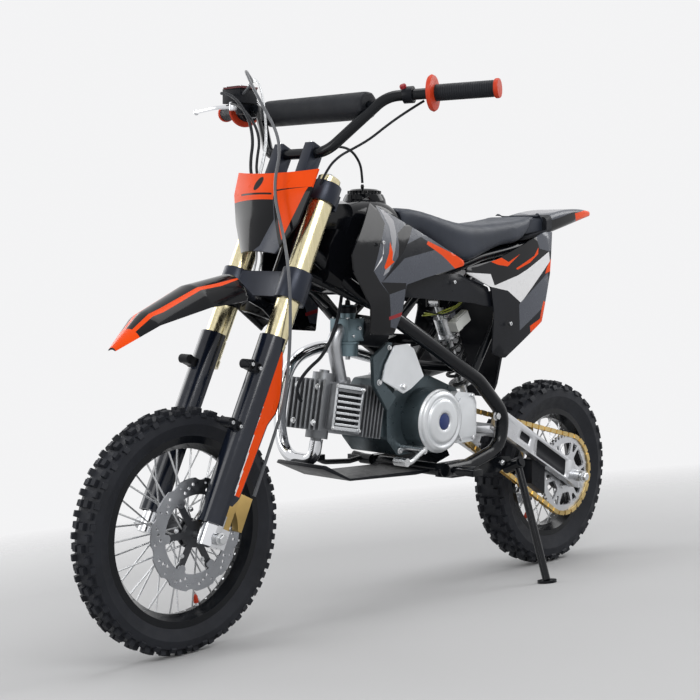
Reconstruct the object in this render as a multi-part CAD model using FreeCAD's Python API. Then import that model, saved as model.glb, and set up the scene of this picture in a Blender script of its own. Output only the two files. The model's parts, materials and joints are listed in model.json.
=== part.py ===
import FreeCAD, Part
import math
import os
from FreeCAD import Vector, Placement, Rotation

os.makedirs("parts", exist_ok=True)

# A kids dirt bike, in millimetres. It is drawn upright, with X forward, Y to the
# rider's left, Z up and the origin on the ground below the rear axle, and is then
# leaned to the left on to its side stand.

# Wheels and tyres
wheelbase = 1178
front_tyre_radius = 242
front_tyre_width = 66
front_bead_radius = 178
rear_tyre_radius = 230.5
rear_tyre_width = 88
rear_bead_radius = 152
tyre_wall = 6
lug_height = 9
lug_root = 3
lug_taper = 1.2
front_lugs_round = 36
rear_lugs_round = 28
shoulder_drop = 0.28
spoke_radius = 1.8
spokes_per_side = 18
front_axle_radius = 6
rear_axle_radius = 7.5
running_gap = 0.3

# Steering and fork
rake = 25.4
steer_offset = 45
leg_spacing = 176
slider_radius = 17.5
fork_tube_radius = 24
fork_tube_low = 343
lower_clamp_low = 490
lower_clamp_high = 553
upper_clamp_low = 705
upper_clamp_high = 747
bar_rise = 60
head_gap = 5
guard_radius = 31
stem_radius = 14
stem_bore_radius = 8
stem_nut_radius = 19
stem_nut_height = 8
head_tube_radius = 26
bar_radius = 11
bar_forward = 29
grip_radius = 17.5
grip_length = 128
throttle_cable_radius = 2.2
disc_plane = 50
front_disc_radius = 110
rear_disc_radius = 92
rear_disc_plane = 56
disc_thickness = 4
disc_lobes = 10
disc_wave = 5
disc_bolts = 6

# Engine and drive
crank_x, crank_z = 524, 410
cylinder_tilt = 10
chain_plane = 72
chain_pitch = 12.7
plate_half = 4.2
plate_wall = 1.8
roller_radius = 3.9
sprocket_half = 2.9
rear_teeth = 48
front_teeth = 14
drive_x, drive_z = 430, 405
pivot_x, pivot_z = 325, 405
arm_inner, arm_outer = 84, 108
arm_height = 50
arm_inset = 3

# Frame and side stand
frame_tube_radius = 16
lean = 8
spring_radius = 26
spring_wire = 4
spring_turns = 5
spring_low, spring_high = 45, 165
seat_gap = 0.3
stand_pivot = Vector(273, 132, 292)
stand_foot_x, stand_foot_y = 300, 240
stand_radius = 9
stand_pin_radius = 5
shock_top_x, shock_top_z = 410, 668
shock_foot_x, shock_foot_z = 302, 438
shock_eye_half = 16
silencer_front, silencer_rear = Vector(360, -138, 508), Vector(-20, -150, 560)
silencer_radius = 42
fold_direction = Vector(-0.973, 0.0, 0.23)
panel_wall = 4

rear_axle = Vector(0, 0, rear_tyre_radius)
front_axle = Vector(wheelbase, 0, front_tyre_radius)
half_spacing = leg_spacing / 2
bar_height = upper_clamp_high + bar_rise
rake_sin, rake_cos = math.sin(math.radians(rake)), math.cos(math.radians(rake))
fork_placement = Placement(front_axle, Rotation(Vector(0, 1, 0), -rake))
head_middle = fork_placement.multVec(Vector(-steer_offset, 0, (lower_clamp_high + upper_clamp_low) / 2))
nodes = {}


def fork_point(x, y, z):
    """A point given ahead of the fork legs, to the left, and up along them."""
    return fork_placement.multVec(Vector(x, y, z))


def on_fork(shape):
    moved = shape.copy()
    moved.Placement = fork_placement.multiply(moved.Placement)
    return moved


def mirrored(shape):
    return shape.mirror(Vector(0, 0, 0), Vector(0, 1, 0))


def pair(shape):
    """The left piece and its mirror image as one shape of separate solids."""
    return Part.makeCompound([shape, mirrored(shape)])


def box(low, high):
    size = Vector(*high) - Vector(*low)
    return Part.makeBox(size.x, size.y, size.z, Vector(*low))


def rod(start, end, radius):
    start, end = Vector(*start), Vector(*end)
    return Part.makeCylinder(radius, (end - start).Length, start, end - start)


def across(x, z, y_low, y_high, radius):
    return rod((x, y_low, z), (x, y_high, z), radius)


def joined(*shapes):
    whole = shapes[0].fuse(list(shapes[1:])) if len(shapes) > 1 else shapes[0]
    return whole.removeSplitter()


def corner_arc(before, at, after, radius):
    """The arc that rounds a corner, with the points where it starts and ends."""
    back, on = (before - at).normalize(), (after - at).normalize()
    half = back.getAngle(on) / 2
    trim = radius / math.tan(half)
    middle = (back + on).normalize()
    nearest = at + middle * (radius / math.sin(half) - radius)
    return at + back * trim, nearest, at + on * trim


def route(points, radii):
    """Straight runs joined by tangent arcs, one radius for each inner point."""
    points = [Vector(*p) for p in points]
    edges, last = [], points[0]
    for index, radius in enumerate(radii, start=1):
        first, middle, end = corner_arc(points[index - 1], points[index], points[index + 1], radius)
        if (first - last).Length > 0.01:
            edges.append(Part.LineSegment(last, first).toShape())
        edges.append(Part.Arc(first, middle, end).toShape())
        last = end
    edges.append(Part.LineSegment(last, points[-1]).toShape())
    return Part.Wire(edges)


def tube(points, radii, radius):
    if not isinstance(radii, (list, tuple)):
        radii = [radii] * (len(points) - 2)
    spine = route(points, radii)
    start, second = Vector(*points[0]), Vector(*points[1])
    ring = Part.Wire([Part.makeCircle(radius, start, second - start)])
    return spine.makePipeShell([ring], True, False)


def outline(points, radius):
    """A closed outline whose corners are all rounded by one radius."""
    edges, count = [], len(points)
    corners = [corner_arc(points[i - 1], points[i], points[(i + 1) % count], radius)
               for i in range(count)]
    for index, (first, middle, end) in enumerate(corners):
        last = corners[index - 1][2]
        if (first - last).Length > 0.01:
            edges.append(Part.LineSegment(last, first).toShape())
        edges.append(Part.Arc(first, middle, end).toShape())
    return Part.Wire(edges)


def side_slab(points, y_low, y_high, radius=0):
    """A plate whose side view is given by (x, z) points."""
    corners = [Vector(x, y_low, z) for x, z in points]
    wire = outline(corners, radius) if radius else Part.makePolygon(corners + corners[:1])
    return Part.Face(wire).extrude(Vector(0, y_high - y_low, 0))


def section(x, half_width, low, high, radius):
    corners = [Vector(x, -half_width, low), Vector(x, half_width, low),
               Vector(x, half_width, high), Vector(x, -half_width, high)]
    return outline(corners, radius)


def turned(profile, centre_x, centre_z):
    """A ring about an axle, whose profile is given by (radius, y) points."""
    points = [Vector(centre_x, y, centre_z + r) for r, y in profile]
    wire = Part.makePolygon(points + points[:1])
    return Part.Face(wire).revolve(Vector(centre_x, 0, centre_z), Vector(0, 1, 0), 360)


def both_sides(points):
    """The (radius, y) points of one side, followed by those of the other side in reverse."""
    return points + [(r, -y) for r, y in reversed(points)]


def crown_arc_radius(tyre_radius, tyre_width):
    """The radius of a tyre's crown, seen from ahead."""
    half, drop = tyre_width / 2, shoulder_drop * tyre_width / 2
    return (half ** 2 + drop ** 2) / (2 * drop)


def arch_wire(left, top, right, inner_left, inner_top, inner_right):
    """The closed outline of a band that bends from one edge to the other."""
    return Part.Wire([Part.Arc(left, top, right).toShape(), Part.LineSegment(right, inner_right).toShape(),
                      Part.Arc(inner_right, inner_top, inner_left).toShape(),
                      Part.LineSegment(inner_left, left).toShape()])


def band_section(x, shift, arc_points):
    """A band across the side of the bike at one station, bent through three (y, z) points."""
    outer = [Vector(x, y + shift, z) for y, z in arc_points]
    inner = [Vector(x, y + shift - panel_wall, z) for y, z in arc_points]
    return arch_wire(*outer, *inner)


def curved_panel(side_view, arc_points, stations, radius=8):
    """A skin bent both ways, by (x, shift in y) stations, and cut to a side view."""
    skin = Part.makeLoft([band_section(x, shift, arc_points) for x, shift in stations], True, False)
    return skin.common(side_slab(side_view, 0, 260, radius))


# Wheels

def on_crown(tyre_radius, tyre_width, angle, sunk=0):
    """The (radius, y) point of a tyre's crown arc at an angle from its middle, in degrees."""
    arc = crown_arc_radius(tyre_radius, tyre_width)
    turn = math.radians(angle)
    return (tyre_radius - arc + (arc - sunk) * math.cos(turn), (arc - sunk) * math.sin(turn))


def crown_half_angle(tyre_radius, tyre_width):
    return math.degrees(math.asin(tyre_width / 2 / crown_arc_radius(tyre_radius, tyre_width)))


def make_lug(half_width, half_length, tilt):
    """A tapered block with its top at the origin, leaning outwards by a tilt in degrees."""
    lug = Part.makeWedge(-half_length, -lug_height - lug_root, -half_width, lug_taper - half_width,
                         lug_taper - half_length, half_length, 0, half_width, half_width - lug_taper,
                         half_length - lug_taper)
    lug.rotate(Vector(0, 0, 0), Vector(1, 0, 0), 90 - tilt)
    return lug


def make_lugs(centre, tyre_radius, tyre_width, lug_rows, count):
    """All lugs of one tyre, with one of each innermost row at its lowest point."""
    lugs = []
    for angle, sunk, tilt, half_width, half_length, shift in lug_rows:
        radius, y = on_crown(tyre_radius, tyre_width, angle, sunk)
        for side in (1, -1):
            first = make_lug(half_width, half_length, side * (angle + tilt))
            first.translate(Vector(centre.x, side * y, centre.z + radius))
            for index in range(count):
                lug = first.copy()
                lug.rotate(centre, Vector(0, 1, 0), 180 + 360 * (index + shift) / count)
                lugs.append(lug)
    return lugs


def make_tyre(centre, tyre_radius, tyre_width, bead_radius, lug_rows, count):
    half = tyre_width / 2
    crown_half = crown_half_angle(tyre_radius, tyre_width)
    wall_mid = (bead_radius + tyre_radius) / 2
    bead_half = 0.62 * half
    outer = [on_crown(tyre_radius, tyre_width, 0.45 * crown_half, lug_height),
             on_crown(tyre_radius, tyre_width, crown_half, lug_height),
             (wall_mid, half - 2), (bead_radius, bead_half)]
    shoulder = tyre_radius - shoulder_drop * half - lug_height - tyre_wall
    inner = [(tyre_radius - lug_height - tyre_wall - 2, 0.4 * half), (shoulder, half - tyre_wall - lug_height),
             (wall_mid, half - 2 - tyre_wall), (bead_radius, bead_half - tyre_wall)]
    carcass = turned(both_sides(outer), centre.x, centre.z)
    lugs = make_lugs(centre, tyre_radius, tyre_width, lug_rows, count)
    return carcass.fuse(lugs).cut(turned(both_sides(inner), centre.x, centre.z))


def make_rim(centre, tyre_width, bead_radius):
    bead_half = 0.62 * tyre_width / 2
    low, seat_half = bead_radius - 17, bead_half - tyre_wall
    channel = [(bead_radius + 9, bead_half + 3), (bead_radius + 9, bead_half), (bead_radius, bead_half),
               (bead_radius, seat_half), (low + 4, seat_half - 8)]
    back = [(low, -(seat_half - 9)), (bead_radius - 5, -(bead_half + 3)), (bead_radius - 5, bead_half + 3),
            (low, seat_half - 9)]
    return turned(both_sides(channel) + [back[1], back[0], back[3], back[2]], centre.x, centre.z)


def make_wheel(side, centre, tyre, rim, low, axle_radius, hub_half):
    """Tyre, rim, spokes and hub of one wheel, named for its side of the bike."""
    x, z = centre.x, centre.z
    nodes[side + "_tyre"] = max(tyre.cut(rim).Solids, key=lambda s: s.Volume)
    nodes[side + "_rim"] = rim
    flange = hub_half - 6
    hub = turned(both_sides([(axle_radius + running_gap, hub_half), (20, hub_half), (22, flange), (29, flange),
                             (29, flange - 4), (20, flange - 8), (16, flange - 14)]), x, z)
    nodes[side + "_hub"] = hub
    spokes = []
    for face in (-1, 1):
        for index in range(spokes_per_side):
            turn = 2 * math.pi * (index + 0.5 * (face > 0)) / spokes_per_side
            cross = math.radians(34) * (1 if index % 2 else -1)
            y_hub = face * (flange + (2 if index % 2 else -6))
            start = Vector(x + 24 * math.sin(turn + cross), y_hub, z + 24 * math.cos(turn + cross))
            end = Vector(x + (low + 1) * math.sin(turn), face * 4, z + (low + 1) * math.cos(turn))
            spokes.append(rod(start, end, spoke_radius))
    blank = rim.fuse(hub)
    nodes[side + "_spokes"] = Part.makeCompound([s.cut(blank).Solids[0] for s in spokes])


def polar(centre, y, radius, degrees):
    """A point round an axle, with its angle counted from straight up."""
    turn = math.radians(degrees)
    return Vector(centre.x + radius * math.sin(turn), y, centre.z + radius * math.cos(turn))


def ring_slab(centre, y_low, y_high, inner, outer):
    ring = across(centre.x, centre.z, y_low, y_high, outer)
    return ring.cut(across(centre.x, centre.z, y_low - 1, y_high + 1, inner))


def wavy_slab(centre, y_low, y_high, radius, lobes, depth):
    """A round plate whose edge has shallow hollows between its lobes."""
    edges, step = [], 360 / lobes
    for index in range(lobes):
        start = index * step
        spots = [polar(centre, y_low, radius, start + share * step) for share in (0, 0.31, 0.62, 1)]
        hollow = polar(centre, y_low, radius - depth, start + 0.81 * step)
        edges.append(Part.Arc(spots[0], spots[1], spots[2]).toShape())
        edges.append(Part.Arc(spots[2], hollow, spots[3]).toShape())
    return Part.Face(Part.Wire(edges)).extrude(Vector(0, y_high - y_low, 0))


def window(centre, y_low, y_high, inner, outer, degrees, half_inner, half_outer, corner):
    """A cut-out with rounded corners between two radii, wider or narrower inside."""
    spots = [polar(centre, y_low, inner, degrees - half_inner), polar(centre, y_low, outer, degrees - half_outer),
             polar(centre, y_low, outer, degrees + half_outer), polar(centre, y_low, inner, degrees + half_inner)]
    return Part.Face(outline(spots, corner)).extrude(Vector(0, y_high - y_low, 0))


def make_disc(radius, centre, plane):
    """A brake disc with a wavy edge, ears for its bolts and three rings of holes."""
    low, high = plane - disc_thickness / 2, plane + disc_thickness / 2
    disc = wavy_slab(centre, low, high, radius, disc_lobes, disc_wave)
    disc = disc.cut(across(centre.x, centre.z, low - 1, high + 1, 0.7 * radius))
    ears = []
    for index in range(disc_bolts):
        spot = polar(centre, 0, 0.66 * radius, (index + 0.5) * 360 / disc_bolts)
        ears.append(across(spot.x, spot.z, low, high, 0.08 * radius))
    disc = joined(disc, *ears)
    holes = []
    for index in range(disc_lobes):
        start = index * 360 / disc_lobes
        for share, place, size in ((0.12, 0.89, 0.032), (0.31, 0.84, 0.032), (0.5, 0.79, 0.032), (0.62, 0.91, 0.024)):
            spot = polar(centre, 0, place * radius, start + share * 360 / disc_lobes)
            holes.append(across(spot.x, spot.z, low - 1, high + 1, size * radius))
    return disc.cut(holes)


def make_carrier(centre, face, plane, radius, thickness, hub_radius, axle_radius):
    """The star behind a disc: a boss on the hub's face with one arm to each bolt of the disc."""
    side = 1 if plane > 0 else -1
    seat = plane - side * disc_thickness / 2
    low, high = sorted((seat, seat - side * thickness))
    boss = across(centre.x, centre.z, *sorted((face, seat)), hub_radius)
    arms = []
    for index in range(disc_bolts):
        degrees = (index + 0.5) * 360 / disc_bolts
        spot = polar(centre, 0, 0.66 * radius, degrees)
        arms.append(window(centre, low, high, hub_radius - 6, 0.7 * radius, degrees, 19, 4.5, 2))
        arms.append(across(spot.x, spot.z, low, high, 0.085 * radius))
    star = joined(boss, *arms)
    return star.cut(across(centre.x, centre.z, -200, 200, axle_radius + running_gap))


def make_wheels():
    # Crown angle, how far sunk, further tilt, half width, half length, shift in pitches
    front_lug_rows = [(lean, 0, 0, 6.2, 7.5, 0), (20, 0, 0, 5.2, 7, 0.5), (31, 5, 30, 6, 7, 0)]
    rear_lug_rows = [(lean, 0, 0, 8.4, 9.5, 0), (20, 0, 0, 7, 9, 0.5), (31, 5, 30, 7, 9, 0)]
    # Name, axle, tyre radius and width, bead radius, lugs, lugs round, axle radius, half the hub
    for row in (("front", front_axle, front_tyre_radius, front_tyre_width, front_bead_radius, front_lug_rows,
                 front_lugs_round, front_axle_radius, 38),
                ("rear", rear_axle, rear_tyre_radius, rear_tyre_width, rear_bead_radius, rear_lug_rows,
                 rear_lugs_round, rear_axle_radius, 48)):
        side, axle, tyre_radius, width, bead, lug_rows, count, axle_radius, hub_half = row
        tyre = make_tyre(axle, tyre_radius, width, bead, lug_rows, count)
        make_wheel(side, axle, tyre, make_rim(axle, width, bead), bead - 17, axle_radius, hub_half)
    carrier = make_carrier(front_axle, 38, disc_plane, front_disc_radius, 5, 26, front_axle_radius)
    nodes["front_hub"] = joined(nodes["front_hub"], carrier)
    nodes["front_disc"] = make_disc(front_disc_radius, front_axle, disc_plane)
    rear_carrier = make_carrier(rear_axle, -48, -rear_disc_plane, rear_disc_radius, 4, 26, rear_axle_radius)
    sprocket_low, sprocket_high = chain_plane - sprocket_half, chain_plane + sprocket_half
    seat = ring_slab(rear_axle, 48, sprocket_low, rear_axle_radius + running_gap, 40)
    nodes["rear_hub"] = joined(nodes["rear_hub"], rear_carrier, seat)
    nodes["rear_disc"] = make_disc(rear_disc_radius, rear_axle, -rear_disc_plane)
    nodes["rear_sprocket"] = make_sprocket(rear_axle, sprocket_low, sprocket_high)


def make_sprocket(centre, low, high):
    """Teeth round the chain's rollers, six large windows and six smaller ones."""
    pitch = pitch_radius(rear_teeth)
    blank = ring_slab(centre, low, high, 28, pitch + 3.5)
    cuts = []
    for index in range(rear_teeth):
        spot = polar(centre, 0, pitch, (index + 0.5) * 360 / rear_teeth)
        cuts.append(across(spot.x, spot.z, low - 1, high + 1, roller_radius + 0.2))
    for index in range(6):
        turn = index * 60
        cuts.append(window(centre, low - 1, high + 1, 0.5 * pitch, 0.84 * pitch, turn, 17, 19, 7))
        cuts.append(window(centre, low - 1, high + 1, 0.62 * pitch, 0.84 * pitch, turn + 30, 3, 7, 2.5))
        bolt = polar(centre, 0, 0.36 * pitch, turn + 30)
        cuts.append(across(bolt.x, bolt.z, low - 1, high + 1, 3))
    return blank.cut(cuts)


def pitch_radius(teeth):
    return chain_pitch / 2 / math.sin(math.pi / teeth)


# Front end

def make_fork():
    tube_profile = [(0, 0), (slider_radius + 8, 0), (slider_radius + 8, 14), (fork_tube_radius, 16),
                    (fork_tube_radius, 56), (fork_tube_radius - 1.5, 57), (fork_tube_radius - 1.5, 61),
                    (fork_tube_radius, 62), (fork_tube_radius, 412), (10, 412), (10, 416), (0, 416)]
    points = [Vector(r, 0, h) for r, h in tube_profile]
    outer = Part.Face(Part.makePolygon(points + points[:1])).revolve(Vector(0, 0, 0), Vector(0, 0, 1), 360)
    outer.translate(Vector(0, half_spacing, fork_tube_low))
    slider_top = fork_tube_low + 60
    bore = rod((0, half_spacing, fork_tube_low - 1), (0, half_spacing, slider_top + 1), slider_radius + 0.1)
    nodes["fork_tubes"] = pair(on_fork(outer.cut(bore)))
    leg = rod((0, half_spacing, 34), (0, half_spacing, slider_top), slider_radius)
    foot = joined(rod((0, half_spacing, -18), (0, half_spacing, 46), 22),
                  box((-30, half_spacing - 20, -16), (0, half_spacing + 20, 22)))
    axle_hole = rod((0, 0, 0), (0, 200, 0), front_axle_radius + 0.1)
    nodes["fork_legs"] = pair(on_fork(joined(leg, foot).cut(axle_hole)))
    axle = joined(rod((0, -116, 0), (0, 116, 0), front_axle_radius), rod((0, 110.2, 0), (0, 122, 0), 12),
                  rod((0, -122, 0), (0, -110.2, 0), 12))
    nodes["front_axle"] = on_fork(axle)
    wide, narrow = guard_radius, guard_radius - panel_wall
    arch = Part.Face(arch_wire(Vector(0, half_spacing - wide, 0), Vector(wide, half_spacing, 0),
                               Vector(0, half_spacing + wide, 0), Vector(0, half_spacing - narrow, 0),
                               Vector(narrow, half_spacing, 0), Vector(0, half_spacing + narrow, 0)))
    guard = arch.extrude(Vector(0, 0, 384))
    guard.translate(Vector(2, 0, 24))
    lug = box((16, half_spacing - 12, 60), (guard_radius - 1, half_spacing + 12, 90))
    lug = lug.cut(rod((0, half_spacing, 0), (0, half_spacing, 200), slider_radius + 0.1))
    nodes["fork_guards"] = pair(on_fork(joined(guard, lug)))


def clamp_body(low, high, ring_radius):
    shapes = [box((-steer_offset, -half_spacing, low + 4), (14, half_spacing, high - 4)),
              rod((-steer_offset, 0, low), (-steer_offset, 0, high), 27)]
    for side in (-1, 1):
        shapes.append(rod((0, side * half_spacing, low), (0, side * half_spacing, high), ring_radius))
    body = joined(*shapes)
    for side in (-1, 1):
        body = body.cut(rod((0, side * half_spacing, low - 9), (0, side * half_spacing, high + 9), fork_tube_radius))
    return body


def make_clamps():
    stem = rod((-steer_offset, 0, lower_clamp_high - 2), (-steer_offset, 0, upper_clamp_low), stem_radius)
    nodes["lower_clamp"] = on_fork(joined(clamp_body(lower_clamp_low, lower_clamp_high, 31), stem))
    body = clamp_body(upper_clamp_low, upper_clamp_high, 30)
    for side in (-1, 1):
        y = side * 45
        body = joined(body, box((bar_forward - 17, y - 13, upper_clamp_low + 8),
                                (bar_forward + 17, y + 13, bar_height + 17)))
    nut_top = upper_clamp_high + stem_nut_height
    body = joined(body, rod((-steer_offset, 0, upper_clamp_high), (-steer_offset, 0, nut_top), stem_nut_radius))
    body = body.cut(rod((-steer_offset, 0, upper_clamp_low), (-steer_offset, 0, nut_top), stem_bore_radius))
    body = body.cut(rod((bar_forward, -90, bar_height), (bar_forward, 90, bar_height), bar_radius))
    nodes["upper_clamp"] = on_fork(body)


def bar_point(dx, y, dz):
    """A point of the handlebar, counted from the middle of its clamps."""
    clamp = fork_point(bar_forward, 0, bar_height)
    return Vector(clamp.x + dx, y, clamp.z + dz)


bar_bend_low = (0, 84, 0)
bar_bend_high = (-68, 188, 110)
bar_end = (-156, 395, 118)


def along_grip(distance, side=1):
    """A point on the bar's straight end, counted inwards from its tip."""
    tip, bend = bar_point(*bar_end), bar_point(*bar_bend_high)
    spot = tip + (bend - tip).normalize() * distance
    return Vector(spot.x, side * spot.y, spot.z)


def make_handlebar():
    half = [bar_point(*bar_end), bar_point(*bar_bend_high), bar_point(*bar_bend_low)]
    other = [Vector(p.x, -p.y, p.z) for p in reversed(half)]
    bar = tube(half + other, [70, 60, 60, 70], bar_radius)
    low, high = bar_point(*bar_bend_low), bar_point(*bar_bend_high)
    spot = low + (high - low) * 0.86
    cross = rod((spot.x, -spot.y, spot.z), (spot.x, spot.y, spot.z), 7)
    nodes["handlebar"] = joined(bar, cross)
    pad = across(spot.x, spot.z, -148, 148, 28.5).cut(nodes["handlebar"])
    nodes["bar_pad"] = pad
    grips = []
    for side in (1, -1):
        inner, tip, over = along_grip(grip_length, side), along_grip(0, side), along_grip(-4, side)
        flange = along_grip(grip_length + 6, side)
        grip = joined(rod(inner, over, grip_radius), rod(inner, flange, 37),
                      rod(tip, along_grip(-9, side), grip_radius + 3))
        grips.append(grip.cut(rod(flange, tip, bar_radius)))
    nodes["grips"] = Part.makeCompound(grips)


def make_bar_controls():
    """Throttle housing and brake reservoir on the right, stop switch on the left."""
    housing = rod(along_grip(grip_length + 8, -1), along_grip(grip_length + 38, -1), 24)
    inner = along_grip(grip_length + 42, -1)
    mount = rod(inner, along_grip(grip_length + 60, -1), 17)
    middle = along_grip(grip_length + 50, -1)
    reservoir = box((middle.x - 2, middle.y - 44, middle.z + 12), (middle.x + 48, middle.y + 14, middle.z + 44))
    neck = box((middle.x + 4, middle.y - 9, middle.z - 12), (middle.x + 40, middle.y + 9, middle.z + 20))
    master = joined(mount, neck, reservoir)
    master = master.cut(rod(along_grip(grip_length + 4, -1), along_grip(grip_length + 41, -1), 26))
    switch = rod(along_grip(grip_length + 40), along_grip(grip_length + 60), 17)
    bar = nodes["handlebar"]
    nodes["bar_controls"] = Part.makeCompound([s.cut(bar).Solids[0] for s in (housing, master, switch)])
    pivot = Vector(middle.x + 34, middle.y - 22, middle.z + 6)
    tip = pivot + Vector(-34, -168, 0)
    lever = joined(rod(pivot - Vector(0, 0, 5), pivot + Vector(0, 0, 5), 9),
                   tube([pivot, pivot + Vector(8, -50, 0), tip], 60, 4.5),
                   Part.makeSphere(7, tip))
    nodes["brake_lever"] = lever.cut(nodes["bar_controls"])


def make_plate():
    """A shield in front of the clamps, flat in the middle, with a hollow top edge."""
    sections = []
    # Height up the fork, half width, how far ahead its middle and its edges stand
    for z, half, front, edge in [(752, 118, 77, 64), (700, 112, 77, 60), (640, 92, 68, 47), (575, 50, 54, 42)]:
        outer = [fork_point(edge, half, z), fork_point(front, 0, z), fork_point(edge, -half, z)]
        inner = [fork_point(edge - panel_wall, half, z), fork_point(front - panel_wall, 0, z),
                 fork_point(edge - panel_wall, -half, z)]
        sections.append(arch_wire(*outer, *inner))
    shield = Part.makeLoft(sections, True, True)
    hollow_radius, hollow_depth = 560, 14
    hollow_middle = 752 + hollow_radius - hollow_depth
    shield = shield.cut(on_fork(rod((0, 0, hollow_middle), (200, 0, hollow_middle), hollow_radius)))
    arm = on_fork(box((14, -12, 712), (74, 12, 722))).cut(nodes["upper_clamp"])
    nodes["number_plate"] = joined(shield, arm.cut(shield).Solids[0])


def make_front_fender():
    # Place ahead of and above the front axle, half width, and drop of its edges
    rows = [(157, 364, 12, 6), (84, 426, 52, 22), (-26, 477, 70, 42), (-126, 496, 66, 52), (-186, 452, 40, 26),
            (-248, 398, 34, 20)]
    sections = []
    for ahead, up, half, drop in rows:
        x, z = front_axle.x + ahead, front_axle.z + up
        outer = [Vector(x, half, z - drop), Vector(x, 0, z), Vector(x, -half, z - drop)]
        inner = [Vector(x, half - panel_wall, z - drop), Vector(x, 0, z - panel_wall),
                 Vector(x, -half + panel_wall, z - drop)]
        sections.append(arch_wire(*outer, *inner))
    blade = Part.makeLoft(sections, True, True)
    room = joined(box((-90, -130, lower_clamp_low), (34, 130, lower_clamp_high + 70)),
                  *[rod((0, side * half_spacing, 300), (0, side * half_spacing, 620), fork_tube_radius + 2)
                    for side in (-1, 1)])
    mount = on_fork(box((-30, -22, lower_clamp_low - 30), (20, 22, lower_clamp_low)))
    whole = joined(blade.cut(on_fork(room)), mount)
    nodes["front_fender"] = max(whole.Solids, key=lambda s: s.Volume)


def widest_arcs(points):
    """For each inner point of a route, the largest arc that its two runs allow."""
    radii = []
    for before, at, after in zip(points, points[1:], points[2:]):
        back, on = before - at, after - at
        radii.append(0.45 * min(back.Length, on.Length) * math.tan(back.getAngle(on) / 2))
    return radii


def make_front_brake():
    body = box((-92, disc_plane - 18, 34), (-38, disc_plane + 22, 104))
    slot = box((-100, disc_plane - disc_thickness, 20), (-20, disc_plane + disc_thickness, 130))
    room = rod((0, 0, 0), (0, disc_plane + 60, 0), 0.7 * front_disc_radius + 12)
    bracket = box((-44, disc_plane + 10, 24), (-14, half_spacing, 90))
    caliper = joined(body.cut(room), bracket).cut(slot)
    nodes["front_caliper"] = max(on_fork(caliper).cut(nodes["fork_legs"]).Solids, key=lambda s: s.Volume)
    middle = along_grip(grip_length + 50, -1)
    start = Vector(middle.x + 40, middle.y + 14, middle.z + 30)
    points = [fork_point(-60, half_spacing + 20, 104), fork_point(-58, half_spacing + 22, 180),
              fork_point(-40, half_spacing + 40, 300), fork_point(10, half_spacing + 44, 430),
              fork_point(56, half_spacing + 22, 560), fork_point(100, half_spacing - 40, 690),
              fork_point(92, 20, 800), Vector(940, -40, 1110), Vector(905, -110, 1165),
              start + Vector(6, 40, 22), start]
    nodes["brake_hose"] = tube(points, widest_arcs(points), 3.2).cut(nodes["bar_controls"])


def make_throttle_cable():
    """Two cables from the throttle housing, over the bar pad and down behind the plate."""
    points = [Vector(766, -252, 1112), Vector(770, -246, 1150), Vector(784, -214, 1162), Vector(806, -172, 1148),
              Vector(830, -134, 1110), Vector(847, -106, 1058), Vector(863, -90, 1003), Vector(884, -84, 950),
              fork_point(46, -80, 700), fork_point(38, -58, 640), fork_point(4, -44, 590),
              fork_point(0, -42, lower_clamp_high - 3.7)]
    cables = []
    for apart in (Vector(0, 0, 0), Vector(8, 11, -6)):
        line = [p + apart for p in points[:-2]] + [p + Vector(0, 1.4 * apart.y, 0) for p in points[-2:]]
        cable = tube(line, widest_arcs(line), throttle_cable_radius).cut(nodes["bar_controls"])
        cables.append(max(cable.Solids, key=lambda s: s.Volume))
    nodes["throttle_cable"] = Part.makeCompound(cables)


# Engine

def along_cylinder(distance, y=0, up=0):
    angle = math.radians(cylinder_tilt)
    return Vector(crank_x + distance * math.cos(angle) - up * math.sin(angle), y,
                  crank_z + distance * math.sin(angle) + up * math.cos(angle))


def cylinder_block(near, far, left, right, low, high):
    """A block along the cylinder's own tilted axis."""
    block = box((near, right, low), (far, left, high))
    block.rotate(Vector(0, 0, 0), Vector(0, 1, 0), -cylinder_tilt)
    block.translate(Vector(crank_x, 0, crank_z))
    return block


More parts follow.
